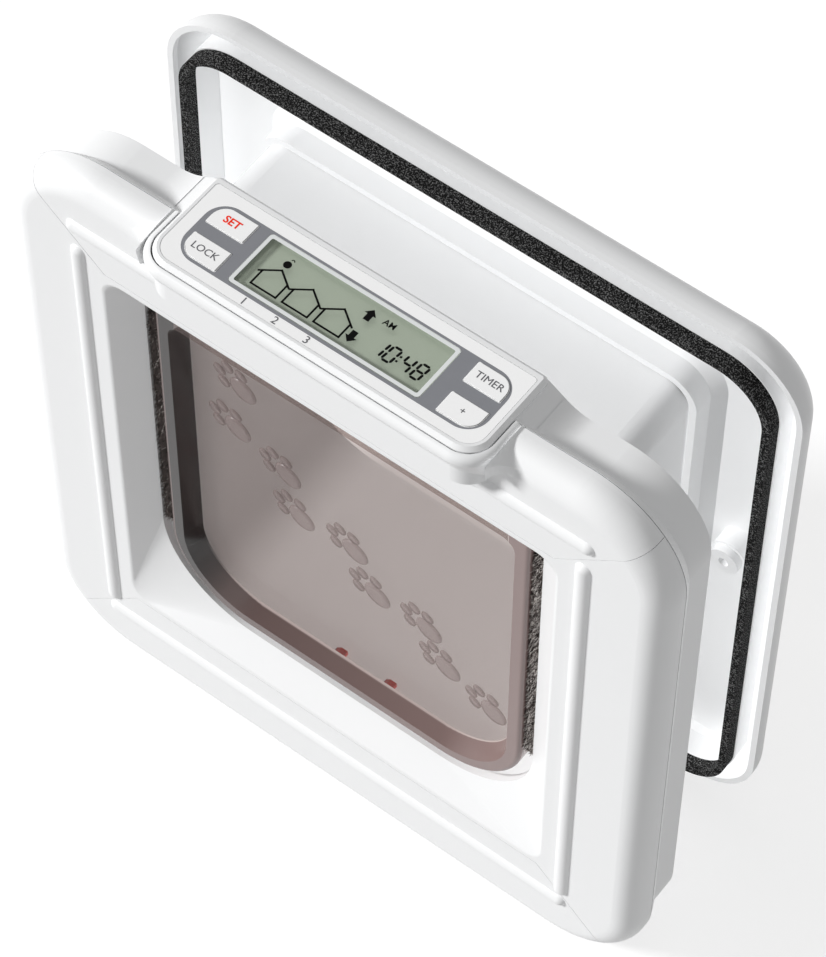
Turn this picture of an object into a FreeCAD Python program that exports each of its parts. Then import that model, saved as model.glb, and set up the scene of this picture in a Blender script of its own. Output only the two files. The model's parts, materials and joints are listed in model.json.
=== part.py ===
"""Electronic cat flap: the indoor unit with its control panel and flap, and the outdoor frame.

The frame has its origin in the plane where the casing meets the door, midway between the two
fixing holes. X runs across the door, +Y leads outdoors through the door and +Z is up. Millimetres.
"""
import FreeCAD, Part
import math
import os
from types import SimpleNamespace

import Sketcher
from FreeCAD import Placement, Rotation, Vector

DRIVING_SIZES = {
    # opening, casing and front moulding
    "side_border": 41.1,
    "head_border": 32.7,
    "foot_border": 47.3,
    "casing_corner": 28.0,
    "casing_depth": 12.0,
    "front_side_overhang": 3.2,
    "front_head_overhang": 6.5,
    "front_foot_overhang": 2.0,
    "front_corner": 32.0,
    "front_depth": 10.0,
    "front_edge_round": 8.0,
    "band_depth": 4.5,
    "band_step": 1.3,
    "wall": 2.2,
    "seam_gap": 0.25,
    # recess and rim round the opening
    "recess_side_slope": 9.1,
    "recess_head_slope": 0.8,
    "recess_foot_slope": 9.8,
    "recess_corner": 6.0,
    "recess_depth": 7.0,
    "recess_edge_round": 2.0,
    "opening_half_width": 70.9,
    "opening_top": 73.3,
    "opening_drop": 82.7,
    "rim_top_corner": 4.0,
    "rim_low_corner": 34.0,
    # mitred seams of the top cover and the bottom strip
    "mitre_inset": 1.1,
    "top_seam_margin": 3.6,
    "top_mitre_slope": 0.88,
    "low_seam_margin": 1.7,
    "low_mitre_slope": 0.97,
    # raised ribs
    "rib_round": 3.0,
    "rib_rise": 1.6,
    "rib_root": 0.6,
    "side_rib_margin": 17.5,
    "side_rib_head": 7.9,
    "side_rib_foot": 17.4,
    "cover_rib_margin": 19.2,
    "cover_rib_overrun": 0.6,
    "strip_rib_margin": 24.8,
    "strip_rib_underrun": 0.6,
    # control housing and its panel
    "housing_half_width": 57.1,
    "housing_front": 34.0,
    "housing_rise": 8.4,
    "housing_sink": 8.0,
    "housing_front_corner": 8.1,
    "housing_back_corner": 2.0,
    "housing_edge_round": 1.2,
    "housing_wall": 1.6,
    "flare_reach": 9.9,
    "flare_fall": 2.1,
    "flare_sink": 0.4,
    "ceiling_thick": 1.4,
    "panel_lip": 2.1,
    "panel_back": 2.6,
    "panel_thick": 0.8,
    "bulge_side": 2.2,
    "bulge_front": 1.9,
    "bulge_foot_margin": 13.2,
    "bulge_foot_corner": 7.0,
    "bulge_edge_round": 2.4,
    "bay_reach": 4.0,
    "bulge_shoulder_fall": 4.4,
    "bulge_top_fall": 1.1,
    "window_left": 32.0,
    "window_right": 33.0,
    "window_front": 27.3,
    "window_back": 7.5,
    "window_corner": 1.2,
    "window_thick": 1.5,
    "key_left_near": 36.4,
    "key_left_far": 49.2,
    "key_right_near": 39.0,
    "key_right_far": 51.2,
    "key_front_low": 27.3,
    "key_front_high": 19.8,
    "key_back_low": 15.2,
    "key_back_high": 7.7,
    "key_corner": 0.6,
    "key_big_corner": 4.6,
    "key_flange": 0.4,
    "key_travel": 0.5,
    "key_rise": 0.3,
    "key_flange_thick": 0.8,
    "key_rest_gap": 0.2,
    "slide_gap": 0.15,
    "board_thick": 1.6,
    "board_fall": 6.4,
    "board_margin": 0.4,
    "board_screw": 1.2,
    "board_screw_depth": 4.6,
    "board_screw_bite": 2.4,
    "board_post": 2.3,
    "ledge_reach": 34.0,
    "ledge_width": 1.0,
    "switch_half_width": 2.6,
    "switch_height": 1.6,
    "switch_rise": 0.5,
    "switch_plunger": 1.3,
    "chip_half_width": 7.0,
    "chip_margin": 8.2,
    "chip_depth": 10.0,
    "chip_height": 1.2,
    # tunnel liner through the door
    "liner_side_step": 4.4,
    "liner_head_step": 0.6,
    "liner_foot_step": 0.3,
    "liner_top_corner": 8.0,
    "liner_low_corner": 30.0,
    "liner_wall": 2.0,
    "liner_reach": 53.0,
    "liner_flange": 3.2,
    "liner_flange_thick": 1.6,
    # flap
    "flap_side_gap": 4.1,
    "flap_head_gap": 3.8,
    "flap_foot_gap": 4.5,
    "flap_top_corner": 5.0,
    "flap_low_corner": 29.5,
    "flap_front": 20.5,
    "flap_back": 12.1,
    "flap_sheet": 2.0,
    "flap_border": 4.9,
    "flap_border_slope": 2.4,
    "flap_head": 8.0,
    "flap_edge_round": 1.6,
    "pivot_fall": 3.5,
    "pin_radius": 2.0,
    "pin_reach": 5.7,
    "socket_length": 2.3,
    "socket_floor": 0.5,
    "socket_radius": 4.0,
    "pin_clearance": 0.06,
    "side_clearance": 0.3,
    "brush_head_gap": 6.0,
    "brush_foot_gap": 34.7,
    "brush_front": 18.4,
    "brush_back": 12.4,
    # latch below the sill
    "pawl_place": 9.6,
    "pawl_half_width": 2.0,
    "pawl_crown": 1.6,
    "pawl_front": 11.5,
    "pawl_back": 8.5,
    "pawl_tip_rise": 3.2,
    "pawl_blade": 15.1,
    "pawl_foot_height": 3.4,
    "pawl_foot_half_width": 4.0,
    "latch_half_width": 26.0,
    "latch_front": 16.0,
    "latch_back": 3.0,
    "latch_roof_gap": 4.0,
    "latch_height": 25.0,
    "latch_wall": 1.6,
    "coil_radius": 4.8,
    "coil_base": 2.0,
    "magnet_half_width": 10.0,
    "magnet_depth": 3.6,
    "magnet_height": 2.6,
    # sensor coil and batteries
    "sensor_thick": 2.8,
    "sensor_front": 8.2,
    "sensor_back": 4.0,
    "cell_radius": 7.2,
    "cell_length": 50.2,
    "cell_nipple": 2.7,
    "cell_nipple_rise": 1.2,
    "cell_margin": 14.7,
    "cell_depth": 12.6,
    "contact_thick": 0.4,
    "shelf_thick": 1.8,
    # fixing holes through the door
    "fixing_margin": 16.2,
    "fixing_hole": 2.25,
    "fixing_boss": 5.0,
    "fixing_boss_rise": 6.0,
    # outdoor frame
    "outer_head_overhang": 3.6,
    "outer_foot_inset": 7.7,
    "outer_corner": 25.0,
    "outer_front": 42.9,
    "outer_back": 55.5,
    "outer_edge_round": 10.5,
    "outer_wall": 2.05,
    "floor_thick": 2.0,
    "gasket_side_inset": 7.7,
    "gasket_head_inset": 8.2,
    "gasket_foot_inset": 5.8,
    "gasket_corner": 19.0,
    "gasket_width": 2.6,
    "gasket_front": 38.5,
    "gasket_thick": 4.8,
    "ring_margin": 0.4,
    "sleeve_gap": 0.4,
    "sleeve_wall": 2.4,
    "sleeve_foot": 3.6,
    "screw_boss_radius": 6.0,
    "screw_boss_nose": 5.0,
    "screw_boss_front": 44.5,
    "screw_boss_step": 2.6,
    "screw_pilot": 1.7,
    "screw_pilot_depth": 8.0,
}

PAD = "PartDesign::Pad"
POCKET = "PartDesign::Pocket"
TINY = 0.001
OVERSHOOT = 1.0
WEDGE_REACH = 60.0
SHARE_OF_CELL = 0.6
SCREW_HEAD_SPREAD = 1.9
SCREW_HEAD_HEIGHT = 1.2
DOC = FreeCAD.newDocument("cat_flap")
SHEET = DOC.addObject("Spreadsheet::Sheet", "Sizes")


class Size:
    """A length in millimetres together with the sheet formula that it follows."""

    def __init__(self, amount, formula):
        self.amount = float(amount)
        self.formula = formula

    def __add__(self, other):
        other = as_size(other)
        return Size(self.amount + other.amount, f"({self.formula} + {other.formula})")

    def __sub__(self, other):
        other = as_size(other)
        return Size(self.amount - other.amount, f"({self.formula} - {other.formula})")

    def __mul__(self, factor):
        factor = as_size(factor)
        return Size(self.amount * factor.amount, f"({self.formula} * {factor.formula})")

    def __truediv__(self, divisor):
        divisor = as_size(divisor)
        return Size(self.amount / divisor.amount, f"({self.formula} / {divisor.formula})")

    def __neg__(self):
        return Size(-self.amount, f"(0 - {self.formula})")


def as_size(number):
    """A bare number as a Size, and a Size as it is."""
    if isinstance(number, Size):
        return number
    return Size(number, f"({float(number)})")


def fill_sheet():
    """Write each driving size into the sheet and return them all as Size values."""
    for row, (name, amount) in enumerate(DRIVING_SIZES.items(), 1):
        SHEET.set(f"A{row}", name)
        SHEET.set(f"B{row}", str(amount))
        SHEET.setAlias(f"B{row}", name)
    DOC.recompute()
    return {name: Size(getattr(SHEET, name), f"Sizes.{name}") for name in DRIVING_SIZES}


s = SimpleNamespace(**fill_sheet())
zero = as_size(0)


def follow_opening():
    """Widths and heights that follow the opening, each by its own margin."""
    s.rim_half_width = s.opening_half_width
    s.rim_top = s.opening_top
    s.rim_drop = s.opening_drop
    s.casing_half_width = s.rim_half_width + s.side_border
    s.casing_top = s.rim_top + s.head_border
    s.casing_drop = s.rim_drop + s.foot_border
    s.front_half_width = s.casing_half_width + s.front_side_overhang
    s.front_top = s.casing_top + s.front_head_overhang
    s.front_drop = s.casing_drop + s.front_foot_overhang
    s.recess_half_width = s.rim_half_width + s.recess_side_slope
    s.recess_top = s.rim_top + s.recess_head_slope
    s.recess_drop = s.rim_drop + s.recess_foot_slope
    s.mitre_half_width = s.recess_half_width - s.mitre_inset
    s.top_seam = s.recess_top + s.top_seam_margin
    s.low_seam = s.recess_drop + s.low_seam_margin
    s.side_rib_place = s.rim_half_width + s.side_rib_margin
    s.side_rib_top = s.rim_top + s.side_rib_head
    s.side_rib_drop = s.rim_drop + s.side_rib_foot
    s.cover_rib_height = s.rim_top + s.cover_rib_margin
    s.cover_rib_reach = s.side_rib_place + s.cover_rib_overrun
    s.strip_rib_drop = s.rim_drop + s.strip_rib_margin
    s.strip_rib_reach = s.side_rib_place - s.strip_rib_underrun


def follow_casing():
    """Heights of the control housing and its cover, and the size of the outdoor frame."""
    s.housing_top = s.casing_top + s.housing_rise
    s.housing_floor = s.casing_top - s.housing_sink
    s.bulge_foot = s.rim_top + s.bulge_foot_margin
    s.bulge_shoulder = s.housing_top - s.bulge_shoulder_fall
    s.bulge_top = s.housing_top - s.bulge_top_fall
    s.board_top = s.housing_top - s.board_fall
    s.board_screw_place = s.window_right
    s.cell_height = s.rim_top + s.cell_margin
    s.outer_half_width = s.casing_half_width
    s.outer_top = s.casing_top + s.outer_head_overhang
    s.outer_drop = s.casing_drop - s.outer_foot_inset
    s.gasket_half_width = s.outer_half_width - s.gasket_side_inset
    s.gasket_top = s.outer_top - s.gasket_head_inset
    s.gasket_drop = s.outer_drop - s.gasket_foot_inset


def follow_tunnel():
    """Sizes of the tunnel, the flap in it and the latch below it."""
    s.liner_half_width = s.rim_half_width + s.liner_side_step
    s.liner_top = s.rim_top + s.liner_head_step
    s.liner_drop = s.rim_drop + s.liner_foot_step
    s.fixing_place = s.liner_half_width + s.fixing_margin
    s.flap_half_width = s.rim_half_width - s.flap_side_gap
    s.flap_top = s.rim_top - s.flap_head_gap
    s.flap_drop = s.rim_drop - s.flap_foot_gap
    s.pivot_height = s.flap_top - s.pivot_fall
    s.brush_top = s.pivot_height - s.brush_head_gap
    s.brush_drop = s.rim_drop - s.brush_foot_gap
    s.pawl_tip = s.rim_drop - s.pawl_tip_rise
    s.pawl_foot_top = s.pawl_tip + s.pawl_blade
    s.pawl_foot_drop = s.pawl_foot_top + s.pawl_foot_height
    s.latch_roof = s.liner_drop + s.latch_roof_gap
    s.latch_drop = s.latch_roof + s.latch_height


follow_opening()
follow_casing()
follow_tunnel()


# Planes that several pieces share

door_plane = zero
seam_plane = -(s.casing_depth + s.band_depth)
front_plane = seam_plane - s.front_depth
rim_plane = front_plane + s.recess_depth
pivot_depth = -(s.flap_front + s.flap_back) / 2
floor_plane = s.outer_back - s.floor_thick
panel_under = s.housing_top - s.panel_thick
housing_ceiling = panel_under - s.ceiling_thick
board_under = s.board_top - s.board_thick
board_front = -s.housing_front + s.housing_wall + s.board_margin
switch_top = s.board_top + s.switch_height + s.switch_rise


class Outline:
    """Rectangle with rounded corners: its four sides and one radius, or four from low right round."""

    def __init__(self, left, right, low, high, rounds):
        self.left, self.right = as_size(left), as_size(right)
        self.low, self.high = as_size(low), as_size(high)
        four = rounds if isinstance(rounds, tuple) else (rounds, rounds, rounds, rounds)
        self.rounds = tuple(as_size(radius) for radius in four)

    def grown(self, step):
        """The same outline, moved outwards all round, its corners with it."""
        step = as_size(step)
        rounds = tuple(radius + step for radius in self.rounds)
        return Outline(self.left - step, self.right + step, self.low - step, self.high + step, rounds)

    def draw(self, sketch):
        """Four sides with arcs between them, each bound to the sheet."""
        left, right = self.left.amount, self.right.amount
        low, high = self.low.amount, self.high.amount
        low_right, high_right, high_left, low_left = (radius.amount for radius in self.rounds)
        first = sketch.GeometryCount
        corners = (
            (right - low_right, low + low_right, low_right, 270),
            (right - high_right, high - high_right, high_right, 0),
            (left + high_left, high - high_left, high_left, 90),
            (left + low_left, low + low_left, low_left, 180),
        )
        sides = (
            (Vector(left + low_left, low), Vector(right - low_right, low)),
            (Vector(right, low + low_right), Vector(right, high - high_right)),
            (Vector(right - high_right, high), Vector(left + high_left, high)),
            (Vector(left, high - high_left), Vector(left, low + low_left)),
        )
        shapes = []
        for (start, end), (x, y, radius, angle) in zip(sides, corners):
            circle = Part.Circle(Vector(x, y), Vector(0, 0, 1), radius)
            turn = math.radians(angle)
            shapes.append(Part.LineSegment(start, end))
            shapes.append(Part.ArcOfCircle(circle, turn, turn + math.pi / 2))
        sketch.addGeometry(shapes, False)
        rules = []
        for place in range(8):
            after = (place + 1) % 8
            rules.append(Sketcher.Constraint("Tangent", first + place, 2, first + after, 1))
        rules.append(Sketcher.Constraint("Horizontal", first))
        rules.append(Sketcher.Constraint("Vertical", first + 2))
        rules.append(Sketcher.Constraint("Horizontal", first + 4))
        rules.append(Sketcher.Constraint("Vertical", first + 6))
        sketch.addConstraint(rules)
        hold(sketch, "DistanceY", first, 1, self.low)
        hold(sketch, "DistanceX", first + 2, 1, self.right)
        hold(sketch, "DistanceY", first + 4, 1, self.high)
        hold(sketch, "DistanceX", first + 6, 1, self.left)
        for corner, radius in enumerate(self.rounds):
            hold_radius(sketch, first + 2 * corner + 1, radius)


class KeyPlan:
    """Rectangle with one wide round corner: its four sides and that corner's place from low right round."""

    def __init__(self, left, right, low, high, place, radius=None):
        self.left, self.right = as_size(left), as_size(right)
        self.low, self.high = as_size(low), as_size(high)
        self.place = place
        self.radius = s.key_big_corner if radius is None else radius

    def grown(self, step):
        """The same plan, moved outwards all round, its wide corner with it."""
        step = as_size(step)
        left, right = self.left - step, self.right + step
        low, high = self.low - step, self.high + step
        return KeyPlan(left, right, low, high, self.place, self.radius + step)

    def draw(self, sketch):
        """Four sides and one arc, each bound to the sheet."""
        radius, place = self.radius, self.place
        left, right, low, high = self.left, self.right, self.low, self.high
        corners = [(right, low), (right, high), (left, high), (left, low)]
        ways = [(0, 1), (-1, 0), (0, -1), (1, 0)]
        into, away = ways[place - 1], ways[place]
        x, y = corners[place]
        start = (x - radius * into[0], y - radius * into[1])
        end = (x + radius * away[0], y + radius * away[1])
        others = [corners[(place + step) % 4] for step in (1, 2, 3)]
        points = [end, *others, start]
        spots = [Vector(px.amount, py.amount) for px, py in points]
        first = sketch.GeometryCount
        lines = [Part.LineSegment(a, b) for a, b in zip(spots, spots[1:])]
        middle = Vector((start[0] + end[0]).amount - x.amount, (start[1] + end[1]).amount - y.amount)
        circle = Part.Circle(middle, Vector(0, 0, 1), radius.amount)
        turn = math.radians(270 + 90 * place)
        sketch.addGeometry([*lines, Part.ArcOfCircle(circle, turn, turn + math.pi / 2)], False)
        joins = [Sketcher.Constraint("Coincident", first + i, 2, first + i + 1, 1) for i in range(3)]
        joins.append(Sketcher.Constraint("Tangent", first + 3, 2, first + 4, 1))
        joins.append(Sketcher.Constraint("Tangent", first + 4, 2, first, 1))
        sketch.addConstraint(joins)
        for i, (px, py) in enumerate(points[:4]):
            hold(sketch, "DistanceX", first + i, 1, px)
            hold(sketch, "DistanceY", first + i, 1, py)
        hold_radius(sketch, first + 4, radius)


class Bead:
    """Half-round bead on a flat face: it stands out towards the low side of one sketch axis."""

    def __init__(self, place, face, across):
        self.place, self.face, self.across = as_size(place), as_size(face), across
        self.centre_depth = self.face + s.rib_round - s.rib_rise
        self.chord_depth = self.face + s.rib_root

    def draw(self, sketch):
        radius = s.rib_round.amount
        drop = self.centre_depth.amount - self.chord_depth.amount
        half_turn = math.acos(drop / radius)
        middle = math.radians(270) if self.across else math.radians(180)
        place, depth = self.place.amount, self.centre_depth.amount
        centre = Vector(place, depth) if self.across else Vector(depth, place)
        circle = Part.Circle(centre, Vector(0, 0, 1), radius)
        arc = Part.ArcOfCircle(circle, middle - half_turn, middle + half_turn)
        chord = Part.LineSegment(arc.EndPoint, arc.StartPoint)
        first = sketch.GeometryCount
        sketch.addGeometry([arc, chord], False)
        sketch.addConstraint([
            Sketcher.Constraint("Coincident", first, 2, first + 1, 1),
            Sketcher.Constraint("Coincident", first + 1, 2, first, 1),
            Sketcher.Constraint("Horizontal" if self.across else "Vertical", first + 1),
        ])
        hold_radius(sketch, first, s.rib_round)
        sideways, outwards = ("DistanceX", "DistanceY") if self.across else ("DistanceY", "DistanceX")
        hold(sketch, sideways, first, 3, self.place)
        hold(sketch, outwards, first, 3, self.centre_depth)
        hold(sketch, outwards, first + 1, 1, self.chord_depth)


class Disc:
    """Full circle with its centre and radius."""

    def __init__(self, x, y, radius):
        self.x, self.y, self.radius = as_size(x), as_size(y), as_size(radius)

    def draw(self, sketch):
        centre = Vector(self.x.amount, self.y.amount)
        place = sketch.addGeometry(Part.Circle(centre, Vector(0, 0, 1), self.radius.amount), False)
        hold(sketch, "DistanceX", place, 3, self.x)
        hold(sketch, "DistanceY", place, 3, self.y)
        hold_radius(sketch, place, self.radius)


class Polygon:
    """Closed outline with straight sides through its corner points."""

    def __init__(self, *corners):
        self.corners = [(as_size(x), as_size(y)) for x, y in corners]

    def draw(self, sketch):
        first = sketch.GeometryCount
        count = len(self.corners)
        points = [Vector(x.amount, y.amount) for x, y in self.corners]
        sides = [Part.LineSegment(points[i], points[(i + 1) % count]) for i in range(count)]
        sketch.addGeometry(sides, False)
        for i in range(count):
            after = first + (i + 1) % count
            sketch.addConstraint(Sketcher.Constraint("Coincident", first + i, 2, after, 1))
        for i, (x, y) in enumerate(self.corners):
            hold(sketch, "DistanceX", first + i, 1, x)
            hold(sketch, "DistanceY", first + i, 1, y)


def inside_chords(outline):
    """Polygon inside a rounded outline: each corner is crossed by two chords."""
    mid = 1 - math.cos(math.pi / 4)
    left, right, low, high = outline.left, outline.right, outline.low, outline.high
    low_right, high_right, high_left, low_left = outline.rounds
    return Polygon(
        (right - low_right, low),
        (right - low_right * mid, low + low_right * mid),
        (right, low + low_right),
        (right, high - high_right),
        (right - high_right * mid, high - high_right * mid),
        (right - high_right, high),
        (left + high_left, high),
        (left + high_left * mid, high - high_left * mid),
        (left, high - high_left),
        (left, low + low_left),
        (left + low_left * mid, low + low_left * mid),
        (left + low_left, low),
    )


def outside_tangents(outline):
    """Polygon round a rounded outline: each corner is cut by one tangent."""
    cut = 1 - math.tan(math.pi / 8)
    left, right, low, high = outline.left, outline.right, outline.low, outline.high
    low_right, high_right, high_left, low_left = outline.rounds
    return Polygon(
        (right - low_right * cut, low),
        (right, low + low_right * cut),
        (right, high - high_right * cut),
        (right - high_right * cut, high),
        (left + high_left * cut, high),
        (left, high - high_left * cut),
        (left, low + low_left * cut),
        (left + low_left * cut, low),
    )


def rectangle(left, right, low, high):
    """Rectangle with sharp corners."""
    return Polygon((left, low), (right, low), (right, high), (left, high))


def square(x, y, half):
    """Square about a centre."""
    return rectangle(x - half, x + half, y - half, y + half)


def even_outline(half_width, low, high, low_round, high_round):
    """Rounded rectangle that lies evenly about x = 0."""
    rounds = (low_round, high_round, high_round, low_round)
    return Outline(-half_width, half_width, low, high, rounds)


def hold(sketch, kind, shape, point, size):
    """Fix one point's distance from the sketch origin to a size of the sheet."""
    rule = sketch.addConstraint(Sketcher.Constraint(kind, -1, 1, shape, point, size.amount))
    sketch.setExpression(f"Constraints[{rule}]", size.formula)


def hold_radius(sketch, shape, radius):
    """Fix the radius of an arc or circle to a size of the sheet."""
    rule = sketch.addConstraint(Sketcher.Constraint("Radius", shape, radius.amount))
    sketch.setExpression(f"Constraints[{rule}]", radius.formula)


def new_body(name, base=None):
    """An empty body, or one that goes on from the shape of another object."""
    body = DOC.addObject("PartDesign::Body", name)
    body.Label = name
    if base is not None:
        body.BaseFeature = base
    return body


def sketch_on(body, name, role, offset, outlines):
    """Sketch parallel to a plane of the body's own origin, moved along that plane's normal."""
    sketch = body.newObject("Sketcher::SketchObject", name)
    plane = next(item for item in body.Origin.OriginFeatures if item.Role == role)
    sketch.AttachmentSupport = [(plane, "")]
    sketch.MapMode = "FlatFace"
    sketch.AttachmentOffset = Placement(Vector(0, 0, offset.amount), Rotation())
    sketch.setExpression("AttachmentOffset.Base.z", offset.formula)
    for outline in outlines:
        outline.draw(sketch)
    return sketch


def sweep_straight(kind, body, name, role, start, length, flipped, outlines):
    """Pad or pocket of one sketch over one length."""
    sketch = sketch_on(body, f"{name}_sketch", role, start, outlines)
    feature = body.newObject(kind, name)
    feature.Profile = sketch
    feature.Reversed = flipped
    feature.Length = length.amount
    feature.setExpression("Length", length.formula)
    sketch.Visibility = False
    return feature


def pad_y(body, name, front, back, *outlines):
    """Material between two depths. Outlines hold x and z."""
    return sweep_straight(PAD, body, name, "XZ_Plane", -front, back - front, True, outlines)


def pocket_y(body, name, front, back, *outlines):
    """Material taken away between two depths. Outlines hold x and z."""
    return sweep_straight(POCKET, body, name, "XZ_Plane", -front, back - front, False, outlines)


def pad_z(body, name, low, high, *outlines):
    """Material between two heights. Outlines hold x and y."""
    return sweep_straight(PAD, body, name, "XY_Plane", low, high - low, False, outlines)


def pocket_z(body, name, low, high, *outlines):
    """Material taken away between two heights. Outlines hold x and y."""
    return sweep_straight(POCKET, body, name, "XY_Plane", high, high - low, False, outlines)


def pad_x(body, name, left, right, *outlines):
    """Material between two places across the door. Outlines hold y and z."""
    return sweep_straight(PAD, body, name, "YZ_Plane", left, right - left, False, outlines)


def pocket_x(body, name, left, right, *outlines):
    """Material taken away between two places across the door. Outlines hold y and z."""
    return sweep_straight(POCKET, body, name, "YZ_Plane", right, right - left, False, outlines)


def loft(kind, body, name, role, sections):
    """Ruled form through outlines at their offsets, added to or taken from the body."""
    sketches = []
    for number, (offset, outline) in enumerate(sections):
        sketches.append(sketch_on(body, f"{name}_section_{number}", role, offset, [outline]))
    feature = body.newObject(kind, name)
    feature.Profile = sketches[0]
    feature.Sections = sketches[1:]
    feature.Ruled = True
    return feature


def round_edges(body, name, chosen, radius):
    """Round the edges of the body so far that the test picks out."""
    DOC.recompute()
    base = body.Tip
    names = [f"Edge{n}" for n, edge in enumerate(base.Shape.Edges, 1) if chosen(edge)]
    fillet = body.newObject("PartDesign::Fillet", name)
    fillet.Base = (base, names)
    fillet.Radius = radius.amount
    fillet.setExpression("Radius", radius.formula)
    return fillet


def bevel_edges(body, name, chosen, size):
    """Bevel the edges of the body so far that the test picks out."""
    DOC.recompute()
    base = body.Tip
    names = [f"Edge{n}" for n, edge in enumerate(base.Shape.Edges, 1) if chosen(edge)]
    bevel = body.newObject("PartDesign::Chamfer", name)
    bevel.Base = (base, names)
    bevel.Size = size.amount
    bevel.setExpression("Size", size.formula)
    return bevel


def points_of(edge):
    """A few points along an edge."""
    return edge.discretize(7)


def lies_at_depth(edge, depth):
    """True for an edge in the plane of one depth."""
    return all(abs(point.y - depth.amount) < TINY for point in points_of(edge))


def at_depth(depth):
    """Test that picks the edges in the plane of one depth."""
    return lambda edge: lies_at_depth(edge, depth)


def at_height(height):
    """Test that picks the edges in the plane of one height."""
    return lambda edge: lies_at_height(edge, height)


def lies_within(edge, reach, outline):
    """True for an edge that stays within a reach across the door and within an outline's heights."""
    low, high = outline.low.amount - TINY, outline.high.amount + TINY
    return all(abs(point.x) < reach and low < point.z < high for point in points_of(edge))


def lies_at_height(edge, height):
    """True for an edge in the plane of one height."""
    return all(abs(point.z - height.amount) < TINY for point in points_of(edge))


def combine(kind, name, base, tool):
    """Boolean of two objects: Part::Cut, Part::Common or Part::Fuse."""
    result = DOC.addObject(kind, name)
    result.Base = base
    result.Tool = tool
    result.Refine = True
    return result


# Outlines that several pieces share

casing_outline = even_outline(
    s.casing_half_width, -s.casing_drop, s.casing_top, s.casing_corner, s.casing_corner
)
front_outline = even_outline(s.front_half_width, -s.front_drop, s.front_top, s.front_corner, s.front_corner)
rim_outline = even_outline(s.rim_half_width, -s.rim_drop, s.rim_top, s.rim_low_corner, s.rim_top_corner)
recess_outline = even_outline(
    s.recess_half_width, -s.recess_drop, s.recess_top, s.recess_corner, s.recess_corner
)
liner_outline = even_outline(
    s.liner_half_width, -s.liner_drop, s.liner_top, s.liner_low_corner, s.liner_top_corner
)
gasket_outline = even_outline(
    s.gasket_half_width, -s.gasket_drop, s.gasket_top, s.gasket_corner, s.gasket_corner
)
outer_outline = even_outline(s.outer_half_width, -s.outer_drop, s.outer_top, s.outer_corner, s.outer_corner)
housing_plan = even_outline(
    s.housing_half_width, -s.housing_front, zero, s.housing_front_corner, s.housing_back_corner
)
panel_corner = s.housing_front_corner - s.panel_lip
panel_half = s.housing_half_width - s.panel_lip
panel_plan = Outline(
    -panel_half,
    panel_half,
    -s.housing_front + s.panel_lip,
    -s.panel_back,
    (panel_corner, s.housing_edge_round, s.housing_edge_round, panel_corner),
)
window_plan = Outline(-s.window_left, s.window_right, -s.window_front, -s.window_back, s.window_corner)
pane_hole = rectangle(
    -s.window_left - s.slide_gap,
    s.window_right + s.slide_gap,
    -s.window_front - s.slide_gap,
    -s.window_back + s.slide_gap,
)
flap_outline = even_outline(
    s.flap_half_width, -s.flap_drop, s.flap_top, s.flap_low_corner, s.flap_top_corner
)


def key_plans():
    """Plan of each key by name. Only the corner towards the panel's own corner is wide."""
    left = (-s.key_left_far, -s.key_left_near)
    right = (s.key_right_near, s.key_right_far)
    front = (-s.key_front_low, -s.key_front_high)
    back = (-s.key_back_low, -s.key_back_high)
    return {
        "set_key": KeyPlan(*left, *back, 2),
        "lock_key": KeyPlan(*left, *front, 3),
        "timer_key": KeyPlan(*right, *back, 1),
        "plus_key": KeyPlan(*right, *front, 0),
    }


def seam_wedge(name, flat, slope, upwards, lift):
    """Wedge of space above or below a mitred seam, moved off the seam by the lift."""
    sign = 1 if upwards else -1
    half, reach, beyond = s.mitre_half_width, s.front_half_width, WEDGE_REACH * sign
    level = (flat + lift) * sign
    end = (flat + lift + (reach - half) * slope) * sign
    body = new_body(name)
    corners = [
        (-half, level),
        (half, level),
        (reach, end),
        (reach + WEDGE_REACH, end + beyond),
        (-reach - WEDGE_REACH, end + beyond),
        (-reach, end),
    ]
    pad_y(body, f"{name}_block", front_plane - WEDGE_REACH, seam_plane + WEDGE_REACH, Polygon(*corners))
    return body


def front_form():
    """The whole front moulding as one shell, before it is parted at the mitres."""
    solid = new_body("front_form")
    pad_y(solid, "front_block", front_plane, seam_plane, front_outline)
    round_edges(solid, "front_edge", at_depth(front_plane), s.front_edge_round)
    cut_funnel(solid, "recess", recess_outline, rim_outline, front_plane, rim_plane)
    edge_of_recess = s.recess_half_width.amount + TINY

    def is_recess_edge(edge):
        return lies_at_depth(edge, front_plane) and lies_within(edge, edge_of_recess, recess_outline)

    round_edges(solid, "recess_edge", is_recess_edge, s.recess_edge_round)
    cavity = new_body("front_cavity")
    deep = front_plane + s.wall
    pad_y(cavity, "cavity_block", deep, seam_plane + OVERSHOOT, inside_chords(front_outline.grown(-s.wall)))
    bevel_edges(cavity, "cavity_edge", at_depth(deep), s.front_edge_round - s.wall)
    wide = outside_tangents(recess_outline.grown(s.wall / 2))
    narrow = outside_tangents(rim_outline.grown(s.wall))
    cut_funnel(cavity, "funnel", wide, narrow, deep, rim_plane + s.wall / 2)
    return combine("Part::Cut", "front_shell", solid, cavity)


def cut_funnel(body, name, wide, narrow, start, end):
    """Opening that narrows from one outline to another, then runs straight out at the seam plane."""
    sections = [(-start, wide), (-end, narrow)]
    loft("PartDesign::SubtractiveLoft", body, name, "XZ_Plane", sections)
    pocket_y(body, f"{name}_passage", end, seam_plane + OVERSHOOT, narrow)


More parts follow.
